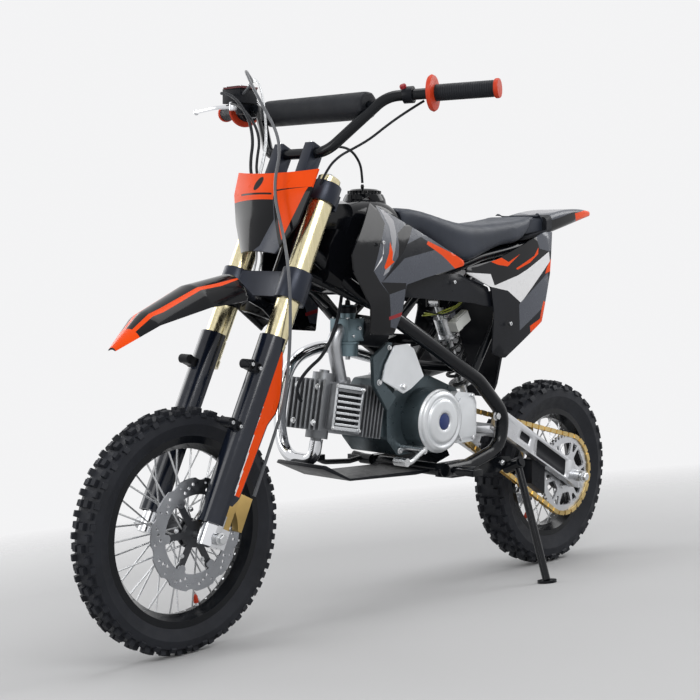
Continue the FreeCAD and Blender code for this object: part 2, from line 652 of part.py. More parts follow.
def make_engine():
    case_view = [(452, 340), (606, 336), (640, 372), (642, 452), (600, 500), (500, 506), (404, 470),
                 (394, 430), (404, 372)]
    case = side_slab(case_view, -82, 56, 14)
    shaft = across(drive_x, drive_z, 56, chain_plane + 6, 12)
    drive = across(drive_x, drive_z, chain_plane - sprocket_half, chain_plane + sprocket_half,
                   pitch_radius(front_teeth) + 1)
    base = cylinder_block(96, 122, 46, -46, -50, 50)
    nodes["engine_case"] = joined(case, shaft, drive, base).cut(nodes["frame"])
    barrel = cylinder_block(122.2, 190, 44, -44, -46, 46)
    fins = [cylinder_block(126 + 11 * i, 130 + 11 * i, 52, -52, -56, 56) for i in range(6)]
    nodes["cylinder"] = joined(barrel, *fins).cut(nodes["engine_case"])
    head = cylinder_block(190.2, 306, 48, -48, -52, 52)
    ribs = [cylinder_block(300, 314, 50 - 14 * i, 45 - 14 * i, -54, 54) for i in range(8)]
    caps = [rod(along_cylinder(270, 0, side * 50), along_cylinder(270, 0, side * 70), 24) for side in (1, -1)]
    nuts = [Part.makeCylinder(11, 6, along_cylinder(270, 0, side * 70) , along_cylinder(0, 0, side) - along_cylinder(0))
            for side in (1, -1)]
    recess = cylinder_block(216, 288, 72, 58, -40, 40)
    cover = joined(cylinder_block(208, 296, 66, 46, -48, 48)).cut(recess)
    cover_fins = [cylinder_block(215, 289, 68, 57, 12 * i - 38.5, 12 * i - 33.5) for i in range(7)]
    nodes["cylinder_head"] = joined(head, *ribs, *caps, *nuts, cover, *cover_fins)
    # Radius and Y of the drum and its face, with a ring groove and a raised middle
    drum_face = [(0, 56.2), (71, 56.2), (71, 106), (66, 112), (66, 116), (57, 120), (55, 116), (50, 116), (48, 121),
                 (20, 123), (18, 119), (0, 119)]
    drum = turned(drum_face, crank_x, crank_z)
    nodes["flywheel_cover"] = drum.cut(across(drive_x, drive_z, 56, 90, 40))
    view = [(392, 352), (452, 352), (474, 376), (474, 446), (452, 470), (396, 462), (384, 440), (384, 370)]
    step_view = [(404, 366), (446, 364), (462, 384), (462, 440), (444, 456), (404, 450), (396, 434), (396, 376)]
    cover = joined(side_slab(view, 79.2, 98, 12), side_slab(step_view, 98, 104, 8)).cut(drum)
    nodes["sprocket_cover"] = max(cover.Solids, key=lambda s: s.Volume)
    right_view = [(420, 372), (470, 340), (590, 345), (620, 390), (612, 450), (560, 490), (470, 486), (420, 450)]
    clutch_face = [(0, -118), (44, -118), (48, -112), (48, -100), (0, -100)]
    nodes["clutch_cover"] = joined(side_slab(right_view, -112, -82.2, 20), turned(clutch_face, 550, 418))


def make_intake():
    start = along_cylinder(228, 12, 52)
    bend = [start, start + Vector(14, 0, 52), Vector(770, 16, 618), Vector(748, 16, 618)]
    pipe = tube(bend, [30, 30], 15)
    flange = rod(start, start + Vector(2, 0, 8), 22)
    body = joined(box((700, -12, 592), (747.8, 42, 640)), rod((722, 15, 560), (722, 15, 600), 23),
                  rod((722, 15, 640), (722, 15, 668), 17))
    nodes["carburettor"] = body
    intake = joined(pipe, flange).cut(nodes["cylinder_head"]).cut(body)
    nodes["intake_pipe"] = max(intake.Solids, key=lambda s: s.Volume)
    nodes["air_filter"] = rod((624, 15, 606), (699.8, 15, 616), 33).cut(body)


def make_exhaust():
    out = along_cylinder(262, -6, -71)
    points = [out, Vector(802, -10, 338), Vector(806, -92, 340), Vector(800, -118, 420), Vector(762, -126, 545),
              Vector(650, -130, 575), Vector(500, -132, 540), silencer_front]
    nodes["exhaust_pipe"] = tube(points, widest_arcs(points), 14).cut(nodes["cylinder_head"])
    along = (silencer_rear - silencer_front).normalize()
    # Height along the silencer and radius of its cone, can and end
    profile = [(0.2, 0), (0.2, 20), (50, silencer_radius), (320, silencer_radius), (354, 22), (354, 14), (330, 14),
               (330, 0)]
    spots = [Vector(radius, 0, height) for height, radius in profile]
    can = Part.Face(Part.makePolygon(spots + spots[:1])).revolve(Vector(0, 0, 0), Vector(0, 0, 1), 360)
    can.Placement = Placement(silencer_front, Rotation(Vector(0, 0, 1), along))
    nodes["silencer"] = can.cut(nodes["exhaust_pipe"])


def make_skid_plate():
    view = [(848, 340), (852, 334), (770, 300), (560, 290), (500, 292), (500, 297), (770, 305), (842, 340)]
    nodes["skid_plate"] = side_slab(view, -70, 70).cut(nodes["frame"])


# Frame and rear end

def stand_foot():
    """The middle of the foot's sole, on the floor that the leaning tyres rest on."""
    sink = crown_arc_radius(rear_tyre_radius, rear_tyre_width) * (1 - math.cos(math.radians(lean)))
    height = stand_foot_y * math.tan(math.radians(lean)) - sink / math.cos(math.radians(lean))
    return Vector(stand_foot_x, stand_foot_y, height)


def stand_axis():
    return (stand_foot() - stand_pivot).cross(fold_direction).normalize()


def make_frame():
    head = rod(fork_point(-steer_offset, 0, lower_clamp_high + head_gap),
               fork_point(-steer_offset, 0, upper_clamp_low - head_gap), head_tube_radius)
    bore = rod(fork_point(-steer_offset, 0, 500), fork_point(-steer_offset, 0, 760), stem_radius + running_gap)
    top = fork_point(-steer_offset - 14, 14, 640)
    low = fork_point(-steer_offset - 14, 10, 585)
    main = [top, Vector(head_middle.x - 98, 60, 716), Vector(654, 90, 641), Vector(387, 104, 492), Vector(298, 108, 408),
            Vector(312, 108, 330), Vector(430, 108, 300), Vector(505, 108, 298)]
    radii = [60, 120, 120, 55, 55, 60]
    left = tube(main, radii, frame_tube_radius)
    brace = rod(low, Vector(head_middle.x - 168, 68, 668), 10)
    rail = tube([(620, 74, 640), (520, 66, 720), (330, 62, 770), (60, 58, 812)], [60, 120], 10)
    stay = rod((395, 96, 505), (160, 62, 786), 9)
    peg_plate = side_slab([(520, 284), (520, 314), (440, 314), (262, 305), (250, 286), (300, 272), (470, 276)], 92, 100)
    sides = []
    for shape in (left, brace, rail, stay, peg_plate):
        sides += [shape, mirrored(shape)]
    cross = [across(440, 522, -100, 100, 11), rod((505, -108, 298), (505, 108, 298), 14),
             across(200, 790, -62, 62, 8), across(560, 590, -96, 96, 11)]
    hanger = side_slab([(600, 590), (560, 600), (470, 506), (520, 504)], -20, 20)
    shock_ear = side_slab([(shock_top_x - 15, shock_top_z - 13), (shock_top_x + 15, shock_top_z - 13),
                           (shock_top_x + 18, 752), (shock_top_x - 18, 752)], shock_eye_half + 0.2, shock_eye_half + 5)
    shock_bar = across(shock_top_x, 748, -66, 66, 10)
    axis = stand_axis()
    post = joined(Part.makeCylinder(13, 28, stand_pivot - axis * 40, axis),
                  Part.makeCylinder(stand_pin_radius, 24, stand_pivot - axis * 12, axis),
                  Part.makeCylinder(9, 3.5, stand_pivot + axis * 11.5, axis))
    whole = joined(head, *sides, *cross, hanger, shock_ear, mirrored(shock_ear), shock_bar, post)
    nodes["frame"] = whole.cut(bore)


def make_swingarm():
    angle = math.degrees(math.atan2(pivot_z - rear_axle.z, pivot_x))
    length = math.hypot(pivot_x, pivot_z - rear_axle.z)
    half = arm_height / 2

    def laid(shape):
        shape.rotate(Vector(0, 0, 0), Vector(0, 1, 0), -angle)
        shape.translate(rear_axle)
        return shape
    arm_view = [(-36, 6 - half), (-20, -half), (length - 20, -half), (length - 20, half), (40, half), (-36, half - 8)]
    panel_view = [(42, 4 - half), (180, 4 - half), (196, half - 8), (58, half - 8)]
    slot_view = [(218, -10), (262, -10), (262, 10), (218, 10)]
    arms = []
    for side in (1, -1):
        low, high = sorted((side * arm_inner, side * arm_outer))
        arm = side_slab(arm_view, low, high, 5)
        for view in (panel_view, slot_view):
            sunk_low, sunk_high = sorted((side * (arm_outer - arm_inset), side * (arm_outer + 1)))
            arm = arm.cut(side_slab(view, sunk_low, sunk_high, 6))
        arms.append(laid(arm))
    bridge = laid(box((276, -arm_outer, -20), (302, arm_outer, 4)))
    barrel = across(pivot_x, pivot_z, -arm_outer, arm_outer, 20)
    ear = side_slab([(shock_foot_x - 14, shock_foot_z + 13), (shock_foot_x + 14, shock_foot_z + 13),
                     (pivot_x + 10, pivot_z - 8), (shock_foot_x - 20, pivot_z - 18)],
                    shock_eye_half + 0.2, shock_eye_half + 5)
    whole = joined(*arms, bridge, barrel, ear, mirrored(ear))
    whole = whole.cut(across(0, rear_axle.z, -200, 200, rear_axle_radius + 0.1))
    whole = whole.cut(nodes["frame"])
    nodes["swingarm"] = max(whole.Solids, key=lambda s: s.Volume)
    nodes["rear_axle"] = joined(across(0, rear_axle.z, -arm_outer - 20, arm_outer + 20, rear_axle_radius),
                                across(0, rear_axle.z, arm_outer + 0.2, arm_outer + 14, 14),
                                across(0, rear_axle.z, -arm_outer - 14, -arm_outer - 0.2, 14))


def make_shock():
    top, foot = Vector(shock_top_x, 0, shock_top_z), Vector(shock_foot_x, 0, shock_foot_z)
    along = (top - foot).normalize()
    # Start, length and radius along the shock of its rod, its body and the two collars of its spring
    parts = [(0, (top - foot).Length, 9), (spring_high + 4, 46, 20), (spring_high, 5, spring_radius + spring_wire),
             (spring_low - 5, 5, spring_radius + spring_wire)]
    body = joined(*[Part.makeCylinder(radius, length, foot + along * start, along) for start, length, radius in parts],
                  across(top.x, top.z, -shock_eye_half, shock_eye_half, 13),
                  across(foot.x, foot.z, -shock_eye_half, shock_eye_half, 13))
    nodes["shock_absorber"] = body.cut(across(pivot_x, pivot_z, -30, 30, 21))
    coil = make_coil(spring_low + seat_gap + spring_wire, spring_high - seat_gap - spring_wire)
    coil.Placement = Placement(foot, Rotation(Vector(0, 0, 1), along))
    nodes["shock_spring"] = coil


def make_coil(low, high):
    """A coil about Z whose half turns are arcs, level where they meet."""
    edges, half_turns = [], 2 * spring_turns
    rise = (high - low) / half_turns
    for index in range(half_turns):
        side, start = (1 if index % 2 == 0 else -1), low + index * rise
        edges.append(Part.Arc(Vector(side * spring_radius, 0, start), Vector(0, side * spring_radius, start + rise / 2),
                              Vector(-side * spring_radius, 0, start + rise)).toShape())
    ring = Part.makeCircle(spring_wire, Vector(spring_radius, 0, low), Vector(0, 1, 0))
    return Part.Wire(edges).makePipeShell([Part.Wire([ring])], True, False)


def drive_line():
    """The slope from the rear axle to the drive shaft, how far the chain's runs lean from it, and its length."""
    reach = Vector(drive_x, 0, drive_z) - rear_axle
    lean_in = math.asin((pitch_radius(rear_teeth) - pitch_radius(front_teeth)) / reach.Length)
    return math.atan2(reach.z, reach.x), lean_in, reach.Length


def outward(angle):
    return Vector(math.cos(angle), 0, math.sin(angle))


def chain_loop(offset):
    """The chain's side view, offset outwards from its pitch line, as a wire."""
    slope, lean_in, reach = drive_line()
    big, small = pitch_radius(rear_teeth) + offset, pitch_radius(front_teeth) + offset
    up, down = slope + math.pi / 2 - lean_in, slope - math.pi / 2 + lean_in
    rear, front = Vector(0, chain_plane, rear_axle.z), Vector(drive_x, chain_plane, drive_z)
    rear_top, rear_low = rear + outward(up) * big, rear + outward(down) * big
    front_top, front_low = front + outward(up) * small, front + outward(down) * small
    return Part.Wire([Part.LineSegment(rear_top, front_top).toShape(),
                      Part.Arc(front_top, front + outward(slope) * small, front_low).toShape(),
                      Part.LineSegment(front_low, rear_low).toShape(),
                      Part.Arc(rear_low, rear - outward(slope) * big, rear_top).toShape()])


def chain_length():
    slope, lean_in, reach = drive_line()
    return (2 * reach * math.cos(lean_in) + pitch_radius(rear_teeth) * (math.pi + 2 * lean_in)
            + pitch_radius(front_teeth) * (math.pi - 2 * lean_in))


def chain_spot(distance):
    """The chain's middle at a distance from the rear end of its upper run, and the angle of its outer side."""
    slope, lean_in, reach = drive_line()
    big, small = pitch_radius(rear_teeth), pitch_radius(front_teeth)
    up, down = slope + math.pi / 2 - lean_in, slope - math.pi / 2 + lean_in
    rear, front = Vector(0, chain_plane, rear_axle.z), Vector(drive_x, chain_plane, drive_z)
    run, bend = reach * math.cos(lean_in), small * (math.pi - 2 * lean_in)
    if distance < run:
        return rear + outward(up) * big + outward(up - math.pi / 2) * distance, up
    if distance < run + bend:
        turn = up - (distance - run) / small
        return front + outward(turn) * small, turn
    if distance < 2 * run + bend:
        return front + outward(down) * small + outward(down - math.pi / 2) * (distance - run - bend), down
    turn = down - (distance - 2 * run - bend) / big
    return rear + outward(turn) * big, turn


def make_chain():
    """Two rows of inner plates, with an outer plate on every second link."""
    band = Part.Face(chain_loop(plate_half)).extrude(Vector(0, plate_wall, 0)).cut(
        Part.Face(chain_loop(-plate_half)).extrude(Vector(0, plate_wall, 0)))
    inner_face = sprocket_half + 0.5
    left, right = band.copy(), band.copy()
    left.translate(Vector(0, inner_face, 0))
    right.translate(Vector(0, -inner_face - plate_wall, 0))
    links = 2 * round(chain_length() / chain_pitch / 2)
    pitch = chain_length() / links
    outer = inner_face + plate_wall
    plates = []
    for index in range(0, links, 2):
        spot, turn = chain_spot((index + 0.5) * pitch)
        for low in (outer, -outer - plate_wall):
            plate = Part.makeBox(pitch + 7, plate_wall, 2 * plate_half + 2,
                                 Vector(-pitch / 2 - 3.5, low, -plate_half - 1))
            plate.rotate(Vector(0, 0, 0), Vector(0, 1, 0), 90 - math.degrees(turn))
            plate.translate(spot)
            plates.append(plate)
    pins = []
    for place in (14, 19, 68, 73):
        spot, turn = chain_spot(place * pitch)
        pins.append(across(spot.x, spot.z, chain_plane - outer, chain_plane + outer, roller_radius))
    nodes["chain"] = left.fuse([right] + plates + pins)


def make_chain_guide():
    low, high = rear_axle.z - 70, rear_axle.z + 54
    guide = side_slab([(108, low + 16), (124, low), (160, low + 14), (160, high), (108, high)], chain_plane - 9,
                      arm_inner + 6, 5)
    slot = Part.Face(chain_loop(12)).extrude(Vector(0, 40, 0)).cut(Part.Face(chain_loop(-12)).extrude(Vector(0, 40, 0)))
    slot.translate(Vector(0, -17, 0))
    room = across(0, rear_axle.z, 0, 200, pitch_radius(rear_teeth) + 9)
    guide = guide.cut(slot).cut(nodes["swingarm"]).cut(room)
    nodes["chain_guide"] = max(guide.Solids, key=lambda s: s.Volume)


def make_foot_controls():
    peg = joined(rod((491, 122.2, 298), (491, 185, 304), 9), box((474, 140, 292), (508, 190, 306)))
    nodes["footpegs"] = pair(peg.cut(nodes["frame"]).Solids[0])
    pedal = tube([(520, -128, 306), (560, -134, 300), (640, -136, 306), (680, -130, 322)], [40, 60], 6)
    step = box((662, -150, 316), (702, -112, 328))
    nodes["brake_pedal"] = joined(pedal, step, across(519, 303, -134, -100, 12)).cut(nodes["frame"])
    lever = tube([(590, 118, 352), (640, 122, 330), (690, 126, 340)], 40, 6)
    nodes["gear_lever"] = joined(lever, across(590, 352, 56.2, 122, 8), across(690, 340, 126, 160, 9))
    start = tube([(470, -124, 400), (450, -128, 450), (446, -130, 488)], 60, 8)
    nodes["kick_starter"] = joined(start, across(470, 400, -128, -112.2, 15),
                                   rod((446, -130, 488), (446, -176, 488), 8))


def make_tank():
    # Place behind the steering head, half width, low and high edges and corner radius
    rows = [(278, 52, 760, 868, 26), (218, 66, 708, 892, 36), (128, 74, 690, 886, 36), (46, 58, 716, 868, 28)]
    body = Part.makeLoft([section(head_middle.x - back, *row) for back, *row in rows], True, False)
    room = on_fork(joined(box((-steer_offset - 40, -140, 400), (200, 140, 900)),
                          box((-steer_offset - 64, -140, upper_clamp_low - 14), (200, 140, 900)),
                          rod((-steer_offset, 0, 400), (-steer_offset, 0, 900), head_tube_radius + 20)))
    tank = body.cut(room).cut(nodes["frame"])
    nodes["fuel_tank"] = max(tank.Solids, key=lambda s: s.Volume)
    cap_x = head_middle.x - 231
    cap = joined(rod((cap_x, 0, 880), (cap_x - 3, 0, 905), 34), rod((cap_x - 3, 0, 905), (cap_x - 4, 0, 918), 27))
    nodes["fuel_cap"] = cap.cut(nodes["fuel_tank"])


def bossed(panel, x, z, y_low, carrier):
    """The panel with a boss behind it that reaches the piece that carries it."""
    boss = across(x, z, y_low, 260, 8).cut(panel)
    inner = min(boss.Solids, key=lambda s: s.CenterOfMass.y)
    whole = joined(panel, inner).cut(nodes[carrier])
    return max(whole.Solids, key=lambda s: s.Volume)


def make_bodywork():
    front = head_middle.x
    shroud_view = [(front - 131, 886), (438, 755), (598, 727), (front - 204, 713), (front - 194, 650),
                   (front - 178, 606), (front - 102, 612), (front - 92, 668), (front - 36, 742), (front - 36, 780)]
    stations = [(420, -12), (600, 0), (front - 128, 6), (front, 14)]
    shroud = curved_panel(shroud_view, [(84, 890), (124, 770), (112, 600)], stations, 7)
    nodes["shrouds"] = pair(bossed(shroud, front - 128, 800, 60, "fuel_tank"))
    panel_view = [(458, 744), (350, 702), (345, 645), (362, 552), (318, 537), (157, 617), (103, 730), (68, 842),
                  (145, 818), (322, 764)]
    panel = curved_panel(panel_view, [(92, 830), (112, 680), (124, 540)], [(20, -22), (160, -6), (300, 0), (480, 4)], 8)
    left_panel = bossed(panel, 300, 618, 84, "frame")
    silencer_room = rod(silencer_front, silencer_rear, silencer_radius + 8)
    nodes["side_panels"] = Part.makeCompound([left_panel, mirrored(left_panel).cut(silencer_room)])
    band_view = [(653, 716), (538, 732), (455, 734), (352, 702), (338, 655), (416, 668), (653, 687)]
    band = curved_panel(band_view, [(86, 800), (104, 690), (112, 560)], [(280, 0), (480, 2), (680, 8)], 7)
    nodes["air_box_covers"] = pair(bossed(band, 480, 716, 64, "frame"))
    # Station, half width, low and high edges and corner radius
    seat_rows = [(632, 40, 858, 889, 13), (560, 62, 818, 877, 22), (490, 78, 786, 864, 28), (412, 88, 753, 848, 30),
                 (345, 88, 771, 845, 26), (262, 86, 797, 850, 20), (164, 76, 830, 862, 13), (84, 62, 846, 869, 9)]
    seat = Part.makeLoft([section(*row) for row in seat_rows], True, False)
    seat = seat.cut(nodes["fuel_tank"]).cut(nodes["fuel_cap"]).cut(nodes["frame"])
    nodes["seat"] = max(seat.Solids, key=lambda s: s.Volume)
    tail_rows = [(180, 74, 808, 827, 8), (98, 70, 820, 862, 12), (-30, 60, 848, 887, 12), (-152, 32, 872, 885, 5)]
    tail = Part.makeLoft([section(*row) for row in tail_rows], True, False)
    # The tail's front end is cut off along the underside and the end of the seat
    seat_room = [(260, 778), (164, 817), (84 - seat_gap, 835), (84 - seat_gap, 930), (260, 930)]
    outline = Part.makePolygon([Vector(x, -150, z) for x, z in seat_room + seat_room[:1]])
    tail = tail.cut(Part.Face(outline).extrude(Vector(0, 300, 0))).cut(nodes["frame"])
    nodes["tail"] = max(tail.Solids, key=lambda s: s.Volume)
    sections = []
    # Station, half width and height of the mud guard
    for x, half, z in [(262, 76, 690), (236, 62, 560), (246, 50, 470), (258, 44, 440)]:
        corners = [Vector(x, -half, z), Vector(x, half, z), Vector(x + 8, half, z), Vector(x + 8, -half, z)]
        sections.append(Part.makePolygon(corners + corners[:1]))
    flap = Part.makeLoft(sections, True, True).cut(nodes["swingarm"]).cut(nodes["frame"])
    nodes["mud_guard"] = max(flap.Solids, key=lambda s: s.Volume)


def make_rear_brake():
    x, z = -20, rear_axle.z + 96
    plane = -rear_disc_plane
    body = box((x - 26, -80, z - 24), (x + 34, -40, z + 22))
    body = body.cut(box((x - 60, plane - disc_thickness, z - 60), (x + 60, plane + disc_thickness, z + 60)))
    body = body.cut(across(0, rear_axle.z, -200, 0, 0.7 * rear_disc_radius + 12))
    bracket = side_slab([(-24, rear_axle.z - 18), (24, rear_axle.z - 18), (16, z + 10), (-40, z + 10)],
                        0.2 - arm_inner, -76, 8)
    bracket = bracket.cut(across(0, rear_axle.z, -100, 0, rear_axle_radius + 0.1))
    body = joined(body, bracket)
    nodes["rear_caliper"] = max(body.cut(nodes["swingarm"]).Solids, key=lambda s: s.Volume)


# Side stand

def make_side_stand():
    foot = stand_foot()
    along = (foot - stand_pivot).normalize()
    leg = Part.makeCylinder(stand_radius, (foot - stand_pivot).Length - 6, stand_pivot, along)
    axis = stand_axis()
    boss = Part.makeCylinder(14, 22, stand_pivot - axis * 11, axis)
    hole = Part.makeCylinder(stand_pin_radius + running_gap, 40, stand_pivot - axis * 20, axis)
    pad = Part.makeCylinder(22, 6, Vector(0, 0, 0), Vector(0, 0, 1))
    pad.rotate(Vector(0, 0, 0), Vector(1, 0, 0), lean)
    pad.translate(foot)
    nodes["side_stand"] = joined(leg, boss, pad).cut(hole)


# Joint axes in the upright frame

steering_axis = Vector(-rake_sin, 0, rake_cos)
steering_point = fork_point(-steer_offset, 0, lower_clamp_high)

make_wheels()
make_fork()
make_clamps()
make_handlebar()
make_bar_controls()
make_plate()
make_front_fender()
make_front_brake()
make_throttle_cable()
make_frame()
make_engine()
make_intake()
make_exhaust()
make_skid_plate()
make_swingarm()
make_shock()
make_chain()
make_chain_guide()
make_foot_controls()
make_tank()
make_bodywork()
make_rear_brake()
make_side_stand()

# The lean, and the shift that puts the origin under the middle of the bike
leaning = Placement(Vector(0, 0, 0), Rotation(Vector(1, 0, 0), -lean))
whole = Part.makeCompound(list(nodes.values()))
whole.Placement = leaning.multiply(whole.Placement)
bounds = whole.optimalBoundingBox(True, False)
floor = -crown_arc_radius(rear_tyre_radius, rear_tyre_width) * (1 - math.cos(math.radians(lean)))
shift = Vector(-(bounds.XMin + bounds.XMax) / 2, -(bounds.YMin + bounds.YMax) / 2, -floor)
parked = Placement(shift, Rotation(Vector(1, 0, 0), -lean))

for name, shape in nodes.items():
    shape = shape.copy()
    shape.Placement = parked.multiply(shape.Placement)
    shape.exportStep("parts/" + name + ".step")
    print(name, len(shape.Solids), shape.isValid(), round(shape.Volume / 1000), "cm3")
print("nodes", len(nodes), "bounds", bounds, "shift", shift)
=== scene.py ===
import json
import math

import bmesh
import bpy
import numpy as np
from mathutils import Matrix, Vector


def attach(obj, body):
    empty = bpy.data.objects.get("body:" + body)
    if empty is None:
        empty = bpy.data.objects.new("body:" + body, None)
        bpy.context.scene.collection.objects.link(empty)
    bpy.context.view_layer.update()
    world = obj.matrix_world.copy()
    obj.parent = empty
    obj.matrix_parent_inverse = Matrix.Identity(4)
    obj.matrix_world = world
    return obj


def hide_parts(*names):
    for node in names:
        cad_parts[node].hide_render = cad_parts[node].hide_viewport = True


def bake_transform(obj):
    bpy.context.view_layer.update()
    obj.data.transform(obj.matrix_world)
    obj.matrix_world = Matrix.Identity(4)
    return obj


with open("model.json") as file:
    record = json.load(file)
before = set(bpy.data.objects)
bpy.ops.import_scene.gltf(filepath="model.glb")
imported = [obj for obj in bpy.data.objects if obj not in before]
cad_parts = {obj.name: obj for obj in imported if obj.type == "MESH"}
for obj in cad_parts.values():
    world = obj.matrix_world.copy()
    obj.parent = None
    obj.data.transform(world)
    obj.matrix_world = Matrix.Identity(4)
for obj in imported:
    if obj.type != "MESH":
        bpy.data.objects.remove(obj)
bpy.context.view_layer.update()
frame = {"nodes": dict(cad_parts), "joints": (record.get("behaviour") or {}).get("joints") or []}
joints = {joint["name"]: joint for joint in frame["joints"]}


# The bike's own upright frame: X forward, Y to the rider's left, Z up, metres, with its origin on
# the ground below the rear axle. BIKE takes it to the leaning bike, and FORK starts at the front
# axle with Z up along the fork legs.

def axle(name):
    return Vector(joints[name]["pos_m"]), Vector(joints[name]["axis"]).normalized()


def reach(node, joint):
    """The largest distance of a node's corners from a joint's axis."""
    point, along = axle(joint)
    offsets = [v.co - point for v in frame["nodes"][node].data.vertices]
    return max((o - along * o.dot(along)).length for o in offsets)


rear_point, left_way = axle("rear_wheel")
front_point = axle("front_wheel")[0]
REAR_RADIUS = reach("rear_tyre", "rear_wheel")
forward_way = Vector((1, 0, 0))
up_way = forward_way.cross(left_way)
TURN = Matrix((forward_way, left_way, up_way)).transposed().to_4x4()
BIKE = Matrix.Translation(rear_point - TURN @ Vector((0, 0, REAR_RADIUS))) @ TURN
UPRIGHT = BIKE.inverted()
REAR = Vector((0, 0, REAR_RADIUS))
FRONT = UPRIGHT @ front_point
steer_way = TURN.inverted() @ Vector(joints["steering"]["axis"]).normalized()
RAKE = math.atan2(-steer_way.x, steer_way.z)
FORK_UP = Matrix.Translation(FRONT) @ Matrix.Rotation(-RAKE, 4, "Y")
FORK = BIKE @ FORK_UP
REAR_WHEEL = BIKE @ Matrix.Translation(REAR)
FRONT_WHEEL = BIKE @ Matrix.Translation(FRONT)

# Places in the upright frame and half the distance between the fork legs, in millimetres
CRANKSHAFT = (524, 0, 410)
CARBURETTOR = (722, 15)
SWING_PIVOT = (325, 405)
AXLE_HEIGHT = 230.5
FORK_SPREAD = 88


# Materials

class Look:
    """A procedural material being made: its tree, its shader and its coordinates."""

    def __init__(self, name, color, metallic, roughness, shine=0.5):
        self.material = bpy.data.materials.new(name)
        self.material.use_nodes = True
        self.tree = self.material.node_tree
        self.shader = self.tree.nodes["Principled BSDF"]
        for socket, value in (("Base Color", (*color, 1)), ("Metallic", metallic),
                              ("Roughness", roughness), ("Specular IOR Level", shine)):
            self.shader.inputs[socket].default_value = value
        self.place = self.node("ShaderNodeTexCoord").outputs["Object"]

    def node(self, kind, **settings):
        made = self.tree.nodes.new(kind)
        for key, value in settings.items():
            setattr(made, key, value)
        return made

    def link(self, source, target):
        self.tree.links.new(source, target)

    def noise(self, scale, detail=3, stretch=None):
        source = self.place
        if stretch:
            mapping = self.node("ShaderNodeMapping")
            mapping.inputs["Scale"].default_value = stretch
            self.link(source, mapping.inputs["Vector"])
            source = mapping.outputs["Vector"]
        texture = self.node("ShaderNodeTexNoise")
        texture.inputs["Scale"].default_value = scale
        texture.inputs["Detail"].default_value = detail
        self.link(source, texture.inputs["Vector"])
        return texture.outputs["Fac"]

    def span(self, value, low, high, start=0.3, end=0.7):
        """A noise value taken from start..end to low..high."""
        node = self.node("ShaderNodeMapRange")
        for key, number in (("From Min", start), ("From Max", end), ("To Min", low), ("To Max", high)):
            node.inputs[key].default_value = number
        self.link(value, node.inputs["Value"])
        return node.outputs["Result"]

    def mix(self, share, first, second):
        node = self.node("ShaderNodeMix", data_type="RGBA")
        for index, side in ((6, first), (7, second)):
            if isinstance(side, tuple):
                node.inputs[index].default_value = (*side, 1)
            else:
                self.link(side, node.inputs[index])
        self.link(share, node.inputs[0])
        return node.outputs[2]

    def bump(self, height, distance):
        node = self.node("ShaderNodeBump")
        node.inputs["Distance"].default_value = distance
        self.link(height, node.inputs["Height"])
        self.link(node.outputs["Normal"], self.shader.inputs["Normal"])


def grained(name, color, metallic, roughness, scale, depth, vary, wear=0.08, shine=0.5):
    """A finish with a fine grain, a slow change of colour and patchy gloss."""
    look = Look(name, color, metallic, roughness, shine)
    patches, gloss = look.noise(14, 4), look.noise(60, 3)
    dark = tuple(c * (1 - vary) for c in color)
    pale = tuple(min(1, c * (1 + vary) + 0.004 * vary) for c in color)
    look.link(look.mix(look.span(patches, 0, 1), dark, pale), look.shader.inputs["Base Color"])
    look.link(look.span(gloss, max(0.03, roughness - wear), min(1, roughness + wear)),
              look.shader.inputs["Roughness"])
    if depth:
        look.bump(look.noise(scale, 2), depth)
    return look


def brushed(name, color, roughness, stretch):
    """Metal with fine drawn streaks."""
    look = Look(name, color, 1.0, roughness)
    streaks = look.noise(1, 4, stretch)
    dark = tuple(c * 0.86 for c in color)
    look.link(look.mix(look.span(streaks, 0, 1), dark, color), look.shader.inputs["Base Color"])
    look.link(look.span(streaks, roughness * 0.75, roughness * 1.25), look.shader.inputs["Roughness"])
    look.bump(streaks, 0.00002)
    return look


